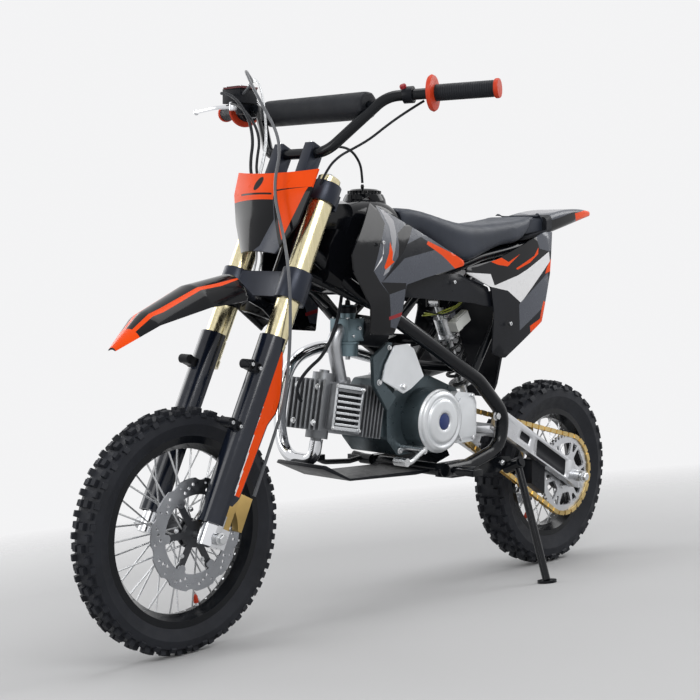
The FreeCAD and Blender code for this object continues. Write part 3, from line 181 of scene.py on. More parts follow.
# Name, colour, metallic, roughness, scale and depth of the grain, change of colour, wear and shine
FINISHES = [
    ("rubber", (0.013, 0.0145, 0.019), 0, 0.58, 700, 0.00015, 0.25, 0.08, 0.25),
    ("soft_rubber", (0.012, 0.0135, 0.017), 0, 0.5, 1200, 0.0001, 0.2, 0.08, 0.2),
    ("gloss_black", (0.0035, 0.004, 0.0055), 0, 0.1, 120, 0, 0.15, 0.03, 0.2),
    ("satin_black", (0.0065, 0.0075, 0.0105), 0, 0.32, 1500, 0.00002, 0.15, 0.05, 0.14),
    ("black_metal", (0.0045, 0.0055, 0.0075), 0, 0.17, 300, 0.00001, 0.15, 0.05, 0.25),
    ("navy_metal", (0.014, 0.018, 0.03), 0.5, 0.34, 900, 0.00004, 0.12, 0.05),
    ("steel", (0.56, 0.57, 0.59), 1, 0.3, 500, 0.00004, 0.12, 0.08),
    ("light_grey", (0.3, 0.3, 0.32), 0, 0.3, 200, 0, 0.05, 0.04, 0.3),
    ("blue_mark", (0.02, 0.04, 0.16), 0.3, 0.3, 300, 0.00001, 0.1, 0.04),
    ("zinc", (0.62, 0.63, 0.64), 1, 0.3, 600, 0.00002, 0.1),
    ("chrome", (0.75, 0.76, 0.78), 1, 0.1, 60, 0.00001, 0.05, 0.03),
    ("gold_paint", (0.55, 0.38, 0.14), 1, 0.35, 600, 0.00003, 0.15),
    ("chain_gold", (0.62, 0.46, 0.2), 1, 0.33, 600, 0.00003, 0.2),
    ("silver", (0.6, 0.61, 0.63), 1, 0.34, 700, 0.00003, 0.08),
    ("cast", (0.5, 0.51, 0.53), 1, 0.42, 900, 0.00012, 0.1, 0.1),
    ("grey_cast", (0.2, 0.207, 0.218), 0.85, 0.44, 900, 0.00012, 0.12, 0.1),
    ("polished_cast", (0.66, 0.68, 0.7), 1, 0.26, 500, 0.00003, 0.06, 0.06),
    ("carb", (0.17, 0.235, 0.265), 0.7, 0.4, 900, 0.00008, 0.12, 0.08),
    ("vinyl", (0.03, 0.036, 0.05), 0, 0.46, 900, 0.00012, 0.12, 0.06, 0.3),
    ("slate", (0.062, 0.069, 0.088), 0, 0.26, 200, 0, 0.05, 0.04, 0.35),
    ("orange", (0.84, 0.072, 0.004), 0, 0.3, 200, 0, 0.04, 0.04, 0.12),
    ("white", (0.78, 0.78, 0.79), 0, 0.3, 200, 0, 0.02, 0.04, 0.3),
    ("mark_red", (0.3, 0.02, 0.025), 0, 0.35, 200, 0, 0.06, 0.04, 0.25),
    ("orange_rubber", (0.58, 0.045, 0.012), 0, 0.45, 900, 0.00005, 0.08, 0.08, 0.25),
    ("guard_navy", (0.006, 0.009, 0.018), 0, 0.16, 300, 0, 0.15, 0.04, 0.45),
    ("dark_steel", (0.33, 0.34, 0.36), 1, 0.33, 500, 0.00004, 0.15, 0.08),
    ("red_lid", (0.09, 0.012, 0.015), 0.3, 0.3, 400, 0.00003, 0.15),
    ("graphite", (0.035, 0.037, 0.042), 0.2, 0.45, 700, 0.00006, 0.15),
    ("silver_braid", (0.55, 0.56, 0.57), 1, 0.32, 2200, 0.0002, 0.25),
    ("cable_grey", (0.09, 0.095, 0.105), 0, 0.35, 1500, 0.00008, 0.15),
    ("case_teal", (0.06, 0.082, 0.093), 0.55, 0.33, 500, 0.00004, 0.2, 0.08),
    ("bright_cast", (0.74, 0.76, 0.78), 0.55, 0.36, 600, 0.00004, 0.05, 0.06),
    ("wire_yellow", (0.45, 0.5, 0.06), 0, 0.4, 600, 0.00002, 0.1),
    ("connector", (0.62, 0.63, 0.6), 0, 0.45, 500, 0.00004, 0.06),
    ("spring_black", (0.012, 0.013, 0.015), 0.2, 0.3, 400, 0.00003, 0.15),
]
LOOKS = {row[0]: grained(*row).material for row in FINISHES}
LOOKS["gold"] = brushed("gold", (0.74, 0.66, 0.42), 0.24, (260, 260, 12)).material

# The finish of each CAD node that stays in view
CAD_LOOKS = {
    "rubber": ["front_tyre", "rear_tyre"],
    "black_metal": ["front_rim", "rear_rim", "frame", "side_stand", "brake_pedal", "handlebar"],
    "guard_navy": ["fork_guards"],
    "satin_black": ["mud_guard", "chain_guide"],
    "gloss_black": ["fuel_tank"],
    "graphite": ["front_hub", "rear_hub", "silencer"],
    "dark_steel": ["front_disc", "rear_disc"],
    "zinc": ["front_spokes", "rear_spokes", "front_axle", "rear_axle", "gear_lever",
             "kick_starter", "shock_absorber"],
    "chrome": ["fork_legs", "exhaust_pipe", "brake_lever"],
    "gold": ["fork_tubes"],
    "chain_gold": ["chain"],
    "silver": ["rear_sprocket"],
    "spring_black": ["shock_spring"],
    "cast": ["intake_pipe"],
    "soft_rubber": ["air_filter"],
    "cable_grey": ["brake_hose"],
    "silver_braid": ["throttle_cable"],
}


def dress_frame():
    for look, names in CAD_LOOKS.items():
        for name in names:
            materials = frame["nodes"][name].data.materials
            materials.clear()
            materials.append(LOOKS[look])


# Camera, light and floor

def add_camera():
    """The camera stands where the photograph was taken from, counted in the upright frame."""
    position = Vector((2.9736, 2.1778, 0.7904))
    yaw, pitch, roll = 0.7636, 0.0697, 0.0018
    focal_share = 1459.1 / 700
    ahead = Vector((-math.cos(yaw) * math.cos(pitch), -math.sin(yaw) * math.cos(pitch), -math.sin(pitch)))
    right = ahead.cross(Vector((0, 0, 1))).normalized()
    up = right.cross(ahead)
    right, up = (right * math.cos(roll) + up * math.sin(roll),
                 up * math.cos(roll) - right * math.sin(roll))
    data = bpy.data.cameras.new("camera")
    data.sensor_width = 36
    data.lens = focal_share * data.sensor_width
    data.clip_end = 100
    camera = bpy.data.objects.new("camera", data)
    bpy.context.collection.objects.link(camera)
    turn = Matrix((right, up, -ahead)).transposed().to_4x4()
    camera.matrix_world = BIKE @ Matrix.Translation(position) @ turn
    bpy.context.scene.camera = camera


def area_light(name, place, target, size, power):
    data = bpy.data.lights.new(name, "AREA")
    data.shape = "RECTANGLE"
    data.size, data.size_y = size
    data.energy = power
    lamp = bpy.data.objects.new(name, data)
    bpy.context.collection.objects.link(lamp)
    lamp.location = place
    lamp.rotation_euler = (Vector(target) - Vector(place)).to_track_quat("-Z", "Y").to_euler()


def add_world():
    """Soft even light, and a pale grey surround for what the camera and glossy surfaces see."""
    world = bpy.data.worlds.new("world")
    bpy.context.scene.world = world
    world.use_nodes = True
    tree = world.node_tree
    tree.nodes.clear()
    path = tree.nodes.new("ShaderNodeLightPath")
    seen = tree.nodes.new("ShaderNodeBackground")
    seen.inputs["Color"].default_value = (0.9, 0.9, 0.908, 1)
    light = tree.nodes.new("ShaderNodeBackground")
    light.inputs["Color"].default_value = (1, 1, 1, 1)
    light.inputs["Strength"].default_value = 0.42
    mix = tree.nodes.new("ShaderNodeMixShader")
    output = tree.nodes.new("ShaderNodeOutputWorld")
    rays = "Is Camera Ray", "Is Glossy Ray", "Is Transmission Ray"
    seen_by = path.outputs[rays[0]]
    for ray in rays[1:]:
        add = tree.nodes.new("ShaderNodeMath")
        add.operation = "MAXIMUM"
        tree.links.new(seen_by, add.inputs[0])
        tree.links.new(path.outputs[ray], add.inputs[1])
        seen_by = add.outputs[0]
    tree.links.new(seen_by, mix.inputs["Fac"])
    tree.links.new(light.outputs[0], mix.inputs[1])
    tree.links.new(seen.outputs[0], mix.inputs[2])
    tree.links.new(mix.outputs[0], output.inputs["Surface"])


def add_floor():
    """A pale round floor that fades into the surround."""
    mesh = bpy.data.meshes.new("floor")
    radius, ring = 7.0, 96
    corners = [(radius * math.cos(2 * math.pi * i / ring), radius * math.sin(2 * math.pi * i / ring), 0)
               for i in range(ring)]
    mesh.from_pydata(corners, [], [list(range(ring))])
    floor = bpy.data.objects.new("floor", mesh)
    bpy.context.collection.objects.link(floor)
    look = Look("floor_paint", (0.5, 0.502, 0.507), 0, 0.75)
    distance = look.node("ShaderNodeVectorMath", operation="LENGTH")
    look.link(look.place, distance.inputs[0])
    clear = look.node("ShaderNodeBsdfTransparent")
    mix = look.node("ShaderNodeMixShader")
    fade = look.span(distance.outputs["Value"], 0, 1, start=1.3, end=3.6)
    look.link(fade, mix.inputs["Fac"])
    look.link(look.shader.outputs[0], mix.inputs[1])
    look.link(clear.outputs[0], mix.inputs[2])
    look.link(mix.outputs[0], look.tree.nodes["Material Output"].inputs["Surface"])
    mesh.materials.append(look.material)


def add_stage():
    bpy.context.scene.view_settings.view_transform = "Standard"
    add_camera()
    add_world()
    add_floor()
    # Name, place, target and size in metres, and power in watts
    for lamp in (("key", (2.2, 3.2, 3.0), (0, 0, 0.6), (2.4, 1.6), 74),
                 ("front_fill", (4.2, -0.6, 1.8), (0, 0, 0.6), (1.6, 2.4), 34),
                 ("back_rim", (-2.6, 1.2, 2.4), (0, 0, 0.7), (1.8, 1.8), 42),
                 ("right_side", (0.5, -3.4, 2.0), (0, 0, 0.6), (2.6, 1.8), 34),
                 ("top", (0, 0, 4.0), (0, 0, 0), (2.6, 1.8), 36)):
        area_light(*lamp)


# Mesh helpers

def place_piece(name, mesh, body, at=BIKE, replaces=()):
    piece = bpy.data.objects.new(name, mesh)
    bpy.context.collection.objects.link(piece)
    piece.matrix_world = at
    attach(piece, body)
    if replaces:
        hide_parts(*replaces)
    return piece


def solid_of(grid, name, looks, angle=32):
    """The mesh of a bmesh, smooth but for edges sharper than an angle in degrees."""
    mesh = bpy.data.meshes.new(name)
    bmesh.ops.recalc_face_normals(grid, faces=grid.faces)
    grid.to_mesh(mesh)
    grid.free()
    for look in looks:
        mesh.materials.append(LOOKS[look])
    mesh.polygons.foreach_set("use_smooth", [True] * len(mesh.polygons))
    mesh.set_sharp_from_angle(angle=math.radians(angle))
    return mesh


def grid_piece(name, grid, looks, body, at=BIKE, replaces=(), angle=32):
    """Places a bmesh as a piece with its finishes."""
    return place_piece(name, solid_of(grid, name, looks, angle), body, at, replaces)


def mm(*numbers):
    return Vector(numbers) / 1000


def node_grid(node, turn=UPRIGHT):
    """A CAD node's mesh as a bmesh, in the upright frame or another."""
    grid = bmesh.new()
    grid.from_mesh(frame["nodes"][node].data)
    bmesh.ops.transform(grid, matrix=turn, verts=grid.verts)
    bmesh.ops.remove_doubles(grid, verts=grid.verts, dist=0.00001)
    return grid


def node_points(node, turn=UPRIGHT):
    return [turn @ v.co for v in frame["nodes"][node].data.vertices]


def node_span(node, turn=UPRIGHT):
    """A node's lowest and highest corners in the upright frame or another."""
    points = node_points(node, turn)
    return (Vector([min(p[i] for p in points) for i in range(3)]),
            Vector([max(p[i] for p in points) for i in range(3)]))


# Painted panels: the CAD panels' own surfaces, cut along the edges of their coloured fields

def inside(x, y, outline):
    odd = False
    for (ax, ay), (bx, by) in zip(outline, outline[1:] + outline[:1]):
        if (ay > y) != (by > y) and x < ax + (y - ay) / (by - ay) * (bx - ax):
            odd = not odd
    return odd


class Shell:
    """A CAD node's surface, whose fields are painted with outlines drawn in a view along one direction."""

    def __init__(self, node, base, turn=UPRIGHT, at=BIKE, across=(1, 0, 0), up=(0, 0, 1)):
        self.node, self.at = node, at
        self.grid = node_grid(node, turn)
        self.looks = [base]
        self.look_from(across, up)

    def look_from(self, across, up):
        self.across, self.up = Vector(across), Vector(up)

    def flat(self, point):
        return point.dot(self.across), point.dot(self.up)

    def cut(self, first, second):
        """Cuts the faces near one edge of a field, all the way through the panel."""
        margin = 0.0005
        low = [min(a, b) - margin for a, b in zip(first, second)]
        high = [max(a, b) + margin for a, b in zip(first, second)]
        near = []
        for face in self.grid.faces:
            spots = [self.flat(v.co) for v in face.verts]
            if (max(s[0] for s in spots) > low[0] and min(s[0] for s in spots) < high[0]
                    and max(s[1] for s in spots) > low[1] and min(s[1] for s in spots) < high[1]):
                near.append(face)
        if near:
            across, up = second[0] - first[0], second[1] - first[1]
            parts = (near + list({e for f in near for e in f.edges})
                     + list({v for f in near for v in f.verts}))
            bmesh.ops.bisect_plane(self.grid, geom=parts, dist=0.000001,
                                   plane_co=self.across * first[0] + self.up * first[1],
                                   plane_no=self.across * up - self.up * across)

    def paint(self, look, outline, keep=None):
        """Paints what lies inside an outline in millimetres; keep may leave out faces by their middle."""
        outline = [(a / 1000, b / 1000) for a, b in outline]
        for first, second in zip(outline, outline[1:] + outline[:1]):
            self.cut(first, second)
        if look not in self.looks:
            self.looks.append(look)
        index = self.looks.index(look)
        for face in self.grid.faces:
            middle = face.calc_center_median()
            if inside(*self.flat(middle), outline) and (keep is None or keep(middle, face.normal)):
                face.material_index = index

    def paint_all(self, fields):
        """Paints fields of a finish and an outline, each over those before it."""
        for look, outline in fields:
            self.paint(look, outline)

    def place(self, name, body):
        bmesh.ops.triangulate(self.grid, faces=[f for f in self.grid.faces if len(f.verts) > 4])
        mesh = solid_of(self.grid, name, self.looks, 34)
        return place_piece(name, mesh, body, self.at, [self.node])


def build_shrouds():
    shell = Shell("shrouds", "gloss_black")
    shell.paint_all([
        ("slate", [(725, 895), (709, 842), (740, 795), (769, 744), (749, 719), (717, 692), (708, 628),
                   (687, 612), (687, 590), (640, 590), (640, 700), (400, 730), (400, 770), (600, 895)]),
        ("satin_black", [(660, 796), (598, 815), (545, 789), (665, 769), (744, 719)]),
        ("gloss_black", [(675, 822), (599, 864), (640, 809), (667, 782), (687, 765), (678, 796)]),
        ("light_grey", [(710, 872), (700, 872), (678, 849), (680, 816), (695, 782), (720, 742),
                        (739, 733), (716, 770), (700, 800), (697, 835)]),
        ("gloss_black", [(747, 720), (664, 717), (672, 658), (682, 614), (690, 590), (720, 590),
                         (708, 628), (717, 692)]),
        ("slate", [(719, 694), (667, 705), (672, 658), (680, 620), (704, 625)]),
        ("mark_red", [(714, 647), (672, 656), (674, 647), (712, 640)]),
        ("orange", [(577, 806), (430, 758), (430, 745), (485, 742), (534, 775), (583, 799)]),
        ("white", [(727, 800), (732, 779), (769, 743), (739, 766)]),
        ("orange", [(705, 804), (701, 782), (706, 766), (700, 762), (730, 746), (734, 751), (715, 779)])])
    shell.place("shroud_shells", "frame")


def build_side_panels():
    shell = Shell("side_panels", "satin_black")
    shell.paint_all([
        ("white", [(470, 752), (357, 764), (288, 740), (98, 790), (98, 760), (147, 727), (239, 664),
                   (287, 693), (319, 698), (355, 704), (470, 735)]),
        ("gloss_black", [(357, 775), (226, 800), (144, 820), (60, 850), (60, 800), (98, 783), (202, 741),
                         (241, 728), (336, 706), (347, 732), (462, 738), (462, 760)]),
        ("slate", [(150, 822), (60, 850), (60, 790), (91, 783), (140, 790)]),
        ("orange", [(342, 760), (300, 769), (274, 759), (226, 777), (279, 749), (316, 753)]),
        ("orange", [(247, 744), (166, 773), (144, 793), (149, 777), (188, 757), (242, 741)]),
        ("slate", [(242, 664), (113, 733), (112, 703), (134, 657), (251, 600), (247, 659)]),
        ("orange", [(143, 666), (130, 660), (150, 610), (208, 585), (208, 609), (164, 624), (154, 647)]),
        ("orange", [(80, 770), (93, 738), (125, 730), (114, 746), (92, 766)])])
    shell.place("side_panel_shells", "frame")


def build_plate():
    """The plate, drawn from the front: a band with an oval and a line at its top, and a dark middle."""
    shell = Shell("number_plate", "slate", FORK.inverted(), FORK, (0, 1, 0), (0, 0, 1))
    oval = [(-29 + 11 * math.cos(a) + 5 * math.sin(a), 716 + 15 * math.sin(a))
            for a in np.linspace(0, 2 * math.pi, 20, endpoint=False)]
    shell.paint_all([
        ("gloss_black", [(-112, 684), (27, 681), (40, 640), (14, 585), (-30, 556), (-84, 566),
                         (-106, 620)]),
        ("gloss_black", [(22, 700), (130, 718), (130, 560), (60, 585)]),
        ("orange", [(-140, 683), (27, 680), (27, 700), (140, 716), (140, 775), (-140, 775)]),
        ("orange", [(32, 697), (106, 711), (62, 602)]),
        ("gloss_black", [(-80, 697), (20, 694), (20, 690), (-80, 693)]),
        ("gloss_black", oval)])
    shell.place("plate_shell", "steering")


def facing_up(least):
    """Keeps the faces whose normal rises by at least a share of its length."""
    return lambda middle, normal: normal.z > least


def build_tail():
    """Dark sides with an orange end, a pale top, and painted shade: a matt black front where the seat
    ends.
    """
    shell = Shell("tail", "slate")
    shell.paint("gloss_black", [(110, 850), (26, 866), (-57, 884), (-69, 874), (8, 826), (110, 800)])
    shell.paint("orange", [(-52, 878), (-160, 893), (-160, 868), (-128, 866), (-60, 858)],
                lambda middle, normal: abs(normal.z) < 0.8)
    shell.look_from((1, 0, 0), (0, 1, 0))
    shell.paint("light_grey", [(30, -54), (-166, -24), (-166, 24), (30, 54), (60, 0)], facing_up(0.6))
    shell.paint("white", [(-60, -37), (-140, -20), (-140, 20), (-60, 37)], facing_up(0.6))
    shell.look_from((1, 0, 0), (0, 0, 1))
    seat_end = 56
    # Painted shade: the tail's front under the seat's end is painted matt black for the dark gap between
    # seat and tail
    shell.paint("rubber", [(220, 760), (seat_end, 760), (seat_end + 8, 920), (220, 920)])
    piece = shell.place("tail_shell", "frame")
    for polygon in piece.data.polygons:
        if polygon.center.x > seat_end / 1000:
            polygon.use_smooth = False


def build_fender():
    """A stripe along each side of the blade and a coloured tip, drawn from above."""
    shell = Shell("front_fender", "gloss_black")
    shell.look_from((1, 0, 0), (0, 1, 0))
    stripe = [(1010, 30), (1100, 40), (1240, 34), (1330, 12), (1330, 4), (1240, 20), (1110, 30)]
    for side in (1, -1):
        shell.paint("orange", [(x, side * y) for x, y in stripe], facing_up(0.2))
    shell.paint("orange", [(1296, -60), (1400, -60), (1400, 60), (1296, 60)], facing_up(0.2))
    shell.place("fender_shell", "steering")


# Seat and bar pad

def stuffed(node, name, voxel, look):
    """A soft form made from a CAD solid: remeshed and rounded by smoothing."""
    grid = node_grid(node)
    bmesh.ops.recalc_face_normals(grid, faces=grid.faces)
    mesh = bpy.data.meshes.new(name)
    grid.to_mesh(mesh)
    grid.free()
    work = bpy.data.objects.new(name + "_work", mesh)
    bpy.context.collection.objects.link(work)
    remesh = work.modifiers.new("remesh", "REMESH")
    remesh.mode = "VOXEL"
    remesh.voxel_size = voxel
    even = work.modifiers.new("even", "SMOOTH")
    even.factor = 0.6
    even.iterations = 5
    fine = work.modifiers.new("fine", "SUBSURF")
    fine.levels = 1
    depsgraph = bpy.context.evaluated_depsgraph_get()
    soft = bpy.data.meshes.new_from_object(work.evaluated_get(depsgraph))
    bpy.data.objects.remove(work)
    soft.name = name
    soft.materials.clear()
    soft.materials.append(LOOKS[look])
    soft.polygons.foreach_set("use_smooth", [True] * len(soft.polygons))
    return soft


def build_soft_pieces():
    for node, name, voxel, look, body in (("seat", "seat_cushion", 0.006, "vinyl", "frame"),
                                          ("bar_pad", "crossbar_pad", 0.004, "soft_rubber", "steering")):
        piece = place_piece(name, stuffed(node, name, voxel, look), body, BIKE, [node])


def build_seat_base():
    """The black base under the rear of the seat."""
    plate("seat_base", [(88, 821), (164, 802), (262, 762), (262, 738), (164, 776), (88, 797)], -52, 104,
          "satin_black", "frame")


def build_seat_end():
    """The bridge between the seat's rear end and the tail, covered like the seat."""
    outline = [(152, 824), (152, 856), (98, 863), (60, 869), (26, 874), (26, 838), (60, 832), (98, 832)]
    plate("seat_end", outline, -56, 112, "vinyl", "frame")


# Lathed pieces, tubes, plates and bolts

def lathe(grid, profile, at=Matrix(), segments=40, index=0):
    """Turns (radius, height) pairs round Z, placed by a matrix."""
    turns = [2 * math.pi * i / segments for i in range(segments)]
    rings = []
    for radius, height in profile:
        spots = [(0, 0, height)]
        if radius > 0:
            spots = [(radius * math.cos(turn), radius * math.sin(turn), height) for turn in turns]
        rings.append([grid.verts.new(at @ Vector(spot)) for spot in spots])
    for low, high in zip(rings, rings[1:]):
        for i in range(segments):
            j = (i + 1) % segments
            corners = [low[i % len(low)], low[j % len(low)], high[j % len(high)], high[i % len(high)]]
            corners = list(dict.fromkeys(corners))
            if len(corners) > 2:
                grid.faces.new(corners).material_index = index
    for ring, order in ((rings[0], -1), (rings[-1], 1)):
        if len(ring) > 1:
            grid.faces.new(ring[::order]).material_index = index


def facing(point, way):
    """A matrix at a point, with its Z along a direction."""
    return Matrix.Translation(point) @ Vector(way).to_track_quat("Z", "Y").to_matrix().to_4x4()


def block(grid, at, size, index=0):
    """A box of a size, with its middle at a matrix."""
    made = bmesh.ops.create_cube(grid, size=1, matrix=at @ Matrix.Diagonal((*size, 1)))
    for face in {f for v in made["verts"] for f in v.link_faces}:
        face.material_index = index


def bolt(grid, point, way, size, index=0, kind="hex", turn=0.3):
    """A flanged hexagon head or a socket head that stands along a direction; its size is across flats."""
    at = facing(point, way) @ Matrix.Rotation(turn, 4, "Z")
    r = size / 2
    if kind == "hex":
        lathe(grid, [(r * 1.45, 0), (r * 1.45, r * 0.18), (r * 1.2, r * 0.3)], at, 24, index)
        lathe(grid, [(r * 1.13, r * 0.2), (r * 1.13, r * 1.05), (r * 0.98, r * 1.2)], at, 6, index)
    else:
        lathe(grid, [(r, 0), (r, r * 1.05), (r * 0.9, r * 1.2), (r * 0.52, r * 1.2), (r * 0.5, r * 0.5),
                     (0, r * 0.4)], at, 24, index)


def sideways(rows):
    """Bolt rows of x, y, z, size and maybe kind that stand away from the bike's middle plane."""
    return [(x, y, z, (0, math.copysign(1, y), 0), *rest) for x, y, z, *rest in rows]


def bolt_set(name, rows, body, at=BIKE):
    """Zinc bolts from rows of x, y, z and direction, size and maybe kind; lengths in millimetres."""
    grid = bmesh.new()
    for number, (x, y, z, way, size, *kind) in enumerate(rows):
        bolt(grid, mm(x, y, z), way, size / 1000, 0, kind[0] if kind else "hex", number * 0.7)
    grid_piece(name, grid, ["zinc"], body, at)


def tube_piece(name, points, radius, look, body, at=BIKE):
    """A cable or hose along a smooth line through the space of its points, in millimetres."""
    data = bpy.data.curves.new(name, "CURVE")
    data.dimensions = "3D"
    spline = data.splines.new("NURBS")
    spline.points.add(len(points) - 1)
    for spot, point in zip(spline.points, points):
        spot.co = (*(c / 1000 for c in point), 1)
    spline.order_u = 3
    spline.use_endpoint_u = True
    spline.resolution_u = 8
    data.bevel_depth = radius / 1000
    data.bevel_resolution = 4
    data.use_fill_caps = True
    data.materials.append(LOOKS[look])
    piece = bpy.data.objects.new(name, data)
    bpy.context.collection.objects.link(piece)
    if not body:
        mesh = bpy.data.meshes.new_from_object(piece)
        bpy.data.objects.remove(piece)
        piece = bpy.data.objects.new(name, mesh)
        bpy.context.collection.objects.link(piece)
    piece.matrix_world = at
    if body:
        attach(piece, body)
    return piece


def plate(name, view, y, thick, look, body):
    """A flat plate parallel to the middle plane, with rounded edges, from its outline in millimetres."""
    grid = bmesh.new()
    face = grid.faces.new([grid.verts.new(mm(x, y, z)) for x, z in view])
    grown = bmesh.ops.extrude_face_region(grid, geom=[face])["geom"]
    far = [item for item in grown if isinstance(item, bmesh.types.BMVert)]
    bmesh.ops.translate(grid, vec=mm(0, thick, 0), verts=far)
    bmesh.ops.recalc_face_normals(grid, faces=grid.faces)
    bmesh.ops.bevel(grid, geom=list(grid.edges), offset=0.0012, segments=2, affect="EDGES")
    grid_piece(name, grid, [look], body, angle=50)


def softened(node, width, look, angle=38):
    """A CAD node's shape with its sharp edges rounded."""
    grid = node_grid(node)
    bmesh.ops.dissolve_limit(grid, angle_limit=math.radians(1.2), verts=grid.verts, edges=grid.edges)
    sharp = [e for e in grid.edges
             if len(e.link_faces) == 2 and e.calc_face_angle(0) > math.radians(angle)]
    bmesh.ops.bevel(grid, geom=sharp, offset=width / 1000, segments=2, profile=0.6, affect="EDGES",
                    clamp_overlap=True)
    return solid_of(grid, node + "_form", [look], 50)


def head_frame():
    """The cylinder's own frame: X forward along its axis from the crankshaft, 10 degrees up."""
    return Matrix.Translation(mm(*CRANKSHAFT)) @ Matrix.Rotation(math.radians(-10), 4, "Y")


def brighten_fins(mesh):
    """The level fins in the recess of the head's side cover are polished."""
    mesh.materials.append(LOOKS["polished_cast"])
    turn = head_frame().inverted()
    start, end, half_height, floor = 0.218, 0.286, 0.036, 0.0585
    for polygon in mesh.polygons:
        spot = turn @ polygon.center
        if start < spot.x < end and abs(spot.z) < half_height and spot.y > floor:
            polygon.material_index = 1


def build_softened():
    # Node, rounding in millimetres, finish and body
    for node, width, look, body in (
            ("upper_clamp", 2.0, "navy_metal", "steering"),
            ("lower_clamp", 2.0, "navy_metal", "steering"),
            ("bar_controls", 1.6, "satin_black", "steering"),
            ("carburettor", 1.6, "carb", "frame"),
            ("front_caliper", 1.8, "gold_paint", "steering"),
            ("rear_caliper", 1.2, "gold_paint", "frame"),
            ("engine_case", 2.5, "case_teal", "frame"),
            ("sprocket_cover", 1.6, "bright_cast", "frame"),
            ("clutch_cover", 2.0, "silver", "frame"),
            ("skid_plate", 1.0, "satin_black", "frame"),
            ("footpegs", 1.0, "black_metal", "frame"),
            ("cylinder_head", 0.7, "grey_cast", "frame"),
            ("cylinder", 0.7, "grey_cast", "frame")):
        mesh = softened(node, width, look)
        if node == "cylinder_head":
            brighten_fins(mesh)
        place_piece(node + "_form", mesh, body, BIKE, [node])


def build_control_dress():
    """Clamp, reservoir lid, lever perch and throttle rings on the right, stop button on the left."""
    inner, way = grip_line(-1)[1:]
    grid = bmesh.new()
    lathe(grid, [(0.0185, -0.006), (0.0195, -0.005), (0.0195, 0.005), (0.0185, 0.006)],
          facing(inner + way * 0.046, way), 32, 0)
    mount = inner + way * 0.05
    # Lower and upper height, length and width, and finish of the reservoir's rim and of its lid
    for low, high, length, width, index in ((0.0435, 0.0475, 0.05, 0.058, 1),
                                            (0.0472, 0.049, 0.042, 0.048, 2)):
        middle = Matrix.Translation(mount + Vector((0.023, -0.015, (low + high) / 2)))
        block(grid, middle, (length, width, high - low), index)
    for x in (0.004, 0.042):
        for y in (-0.038, 0.008):
            bolt(grid, mount + Vector((x, y, 0.0475)), (0, 0, 1), 0.005, 3, "socket")
    pivot = mount + Vector((0.034, -0.022, 0.006))
    lathe(grid, [(0.012, -0.009), (0.0125, -0.008), (0.0125, 0.008), (0.012, 0.009)],
          Matrix.Translation(pivot), 24, 0)
    bolt(grid, pivot + Vector((0, 0, 0.009)), (0, 0, 1), 0.008, 3, "hex")
    throttle = facing(inner + way * 0.022, way)
    for height in (-0.012, -0.004, 0.006, 0.013):
        lathe(grid, [(0.024, height - 0.0012), (0.0252, height - 0.0006), (0.0252, height + 0.0006),
                     (0.024, height + 0.0012)], throttle, 36, 2)
    grid_piece("control_parts", grid, ["silver", "red_lid", "satin_black", "zinc"], "steering")
    inner, way = grip_line(1)[1:]
    grid = bmesh.new()
    lathe(grid, [(0.007, 0.015), (0.007, 0.021), (0.0055, 0.023), (0, 0.0235)],
          facing(inner + way * 0.05, (0.5, 0, 0.85)), 20, 0)
    grid_piece("stop_button", grid, ["mark_red"], "steering")


# Cap, grips, fork, engine, cables and wheels

def build_cap():
    """The domed filler cap, with a ribbed grip band and the vent nipple on its top."""
    grid = bmesh.new()
    at = Matrix.Translation(mm(655, 0, 880))
    lathe(grid, [(0.047, 0.0), (0.048, 0.006), (0.046, 0.016), (0.041, 0.026), (0.036, 0.0285),
                 (0.034, 0.034), (0.028, 0.0375), (0.012, 0.039), (0, 0.039)], at, 64)
    ribs = 24
    for i in range(ribs):
        turn = Matrix.Rotation(2 * math.pi * i / ribs, 4, "Z")
        block(grid, at @ turn @ Matrix.Translation((0.0352, 0, 0.031)), (0.003, 0.0034, 0.006))
    lathe(grid, [(0.0035, 0), (0.0035, 0.006), (0.0042, 0.007), (0.003, 0.012), (0, 0.012)],
          at @ Matrix.Translation((0.006, 0, 0.036)), 16)
    grid_piece("cap_dome", grid, ["gloss_black"], "frame", BIKE, ["fuel_cap"], 35)


def grip_line(side):
    """The outer end, the inner end and the direction of one grip, from its CAD node."""
    points = np.array([p for p in node_points("grips") if p.y * side > 0])
    middle = points.mean(0)
    way = np.linalg.svd(points - middle, full_matrices=False)[2][0]
    if way[1] * side > 0:
        way = -way
    spans = (points - middle) @ way
    return Vector(middle + way * spans.min()), Vector(middle + way * spans.max()), Vector(way)


def build_grips():
    """Ribbed rubber grips with a coloured ring at the outer end and a wide one at the inner end."""
    for side, word in ((1, "left"), (-1, "right")):
        outer, inner, way = grip_line(side)
        length = (inner - outer).length
        at = facing(outer, way)
        count, ribbed = 26, length - 0.021
        step = ribbed / count
        ribs = [(0.0155, 0.008), (0.0165, 0.0085)]
        for i in range(count):
            low = 0.009 + ribbed * i / count
            ribs += [(0.0167, low + step * 0.1), (0.0167, low + step * 0.6), (0.0158, low + step * 0.7),
                     (0.0158, low + step * 0.98)]
        grid = bmesh.new()
        lathe(grid, ribs + [(0.0165, length - 0.012)], at, 40, 0)
        lathe(grid, [(0.012, 0.0), (0.0185, 0.0005), (0.0195, 0.003), (0.0195, 0.0075), (0.0182, 0.0095),
                     (0.0165, 0.0098)], at, 40, 1)
        lathe(grid, [(0.0165, length - 0.013), (0.026, length - 0.0125), (0.0345, length - 0.0105),
                     (0.0368, length - 0.006), (0.0345, length - 0.0015), (0.026, length),
                     (0.018, length)],
              at, 48, 1)
        grid_piece(word + "_grip", grid, ["soft_rubber", "orange_rubber"], "steering", BIKE,
                   ["grips"], 40)


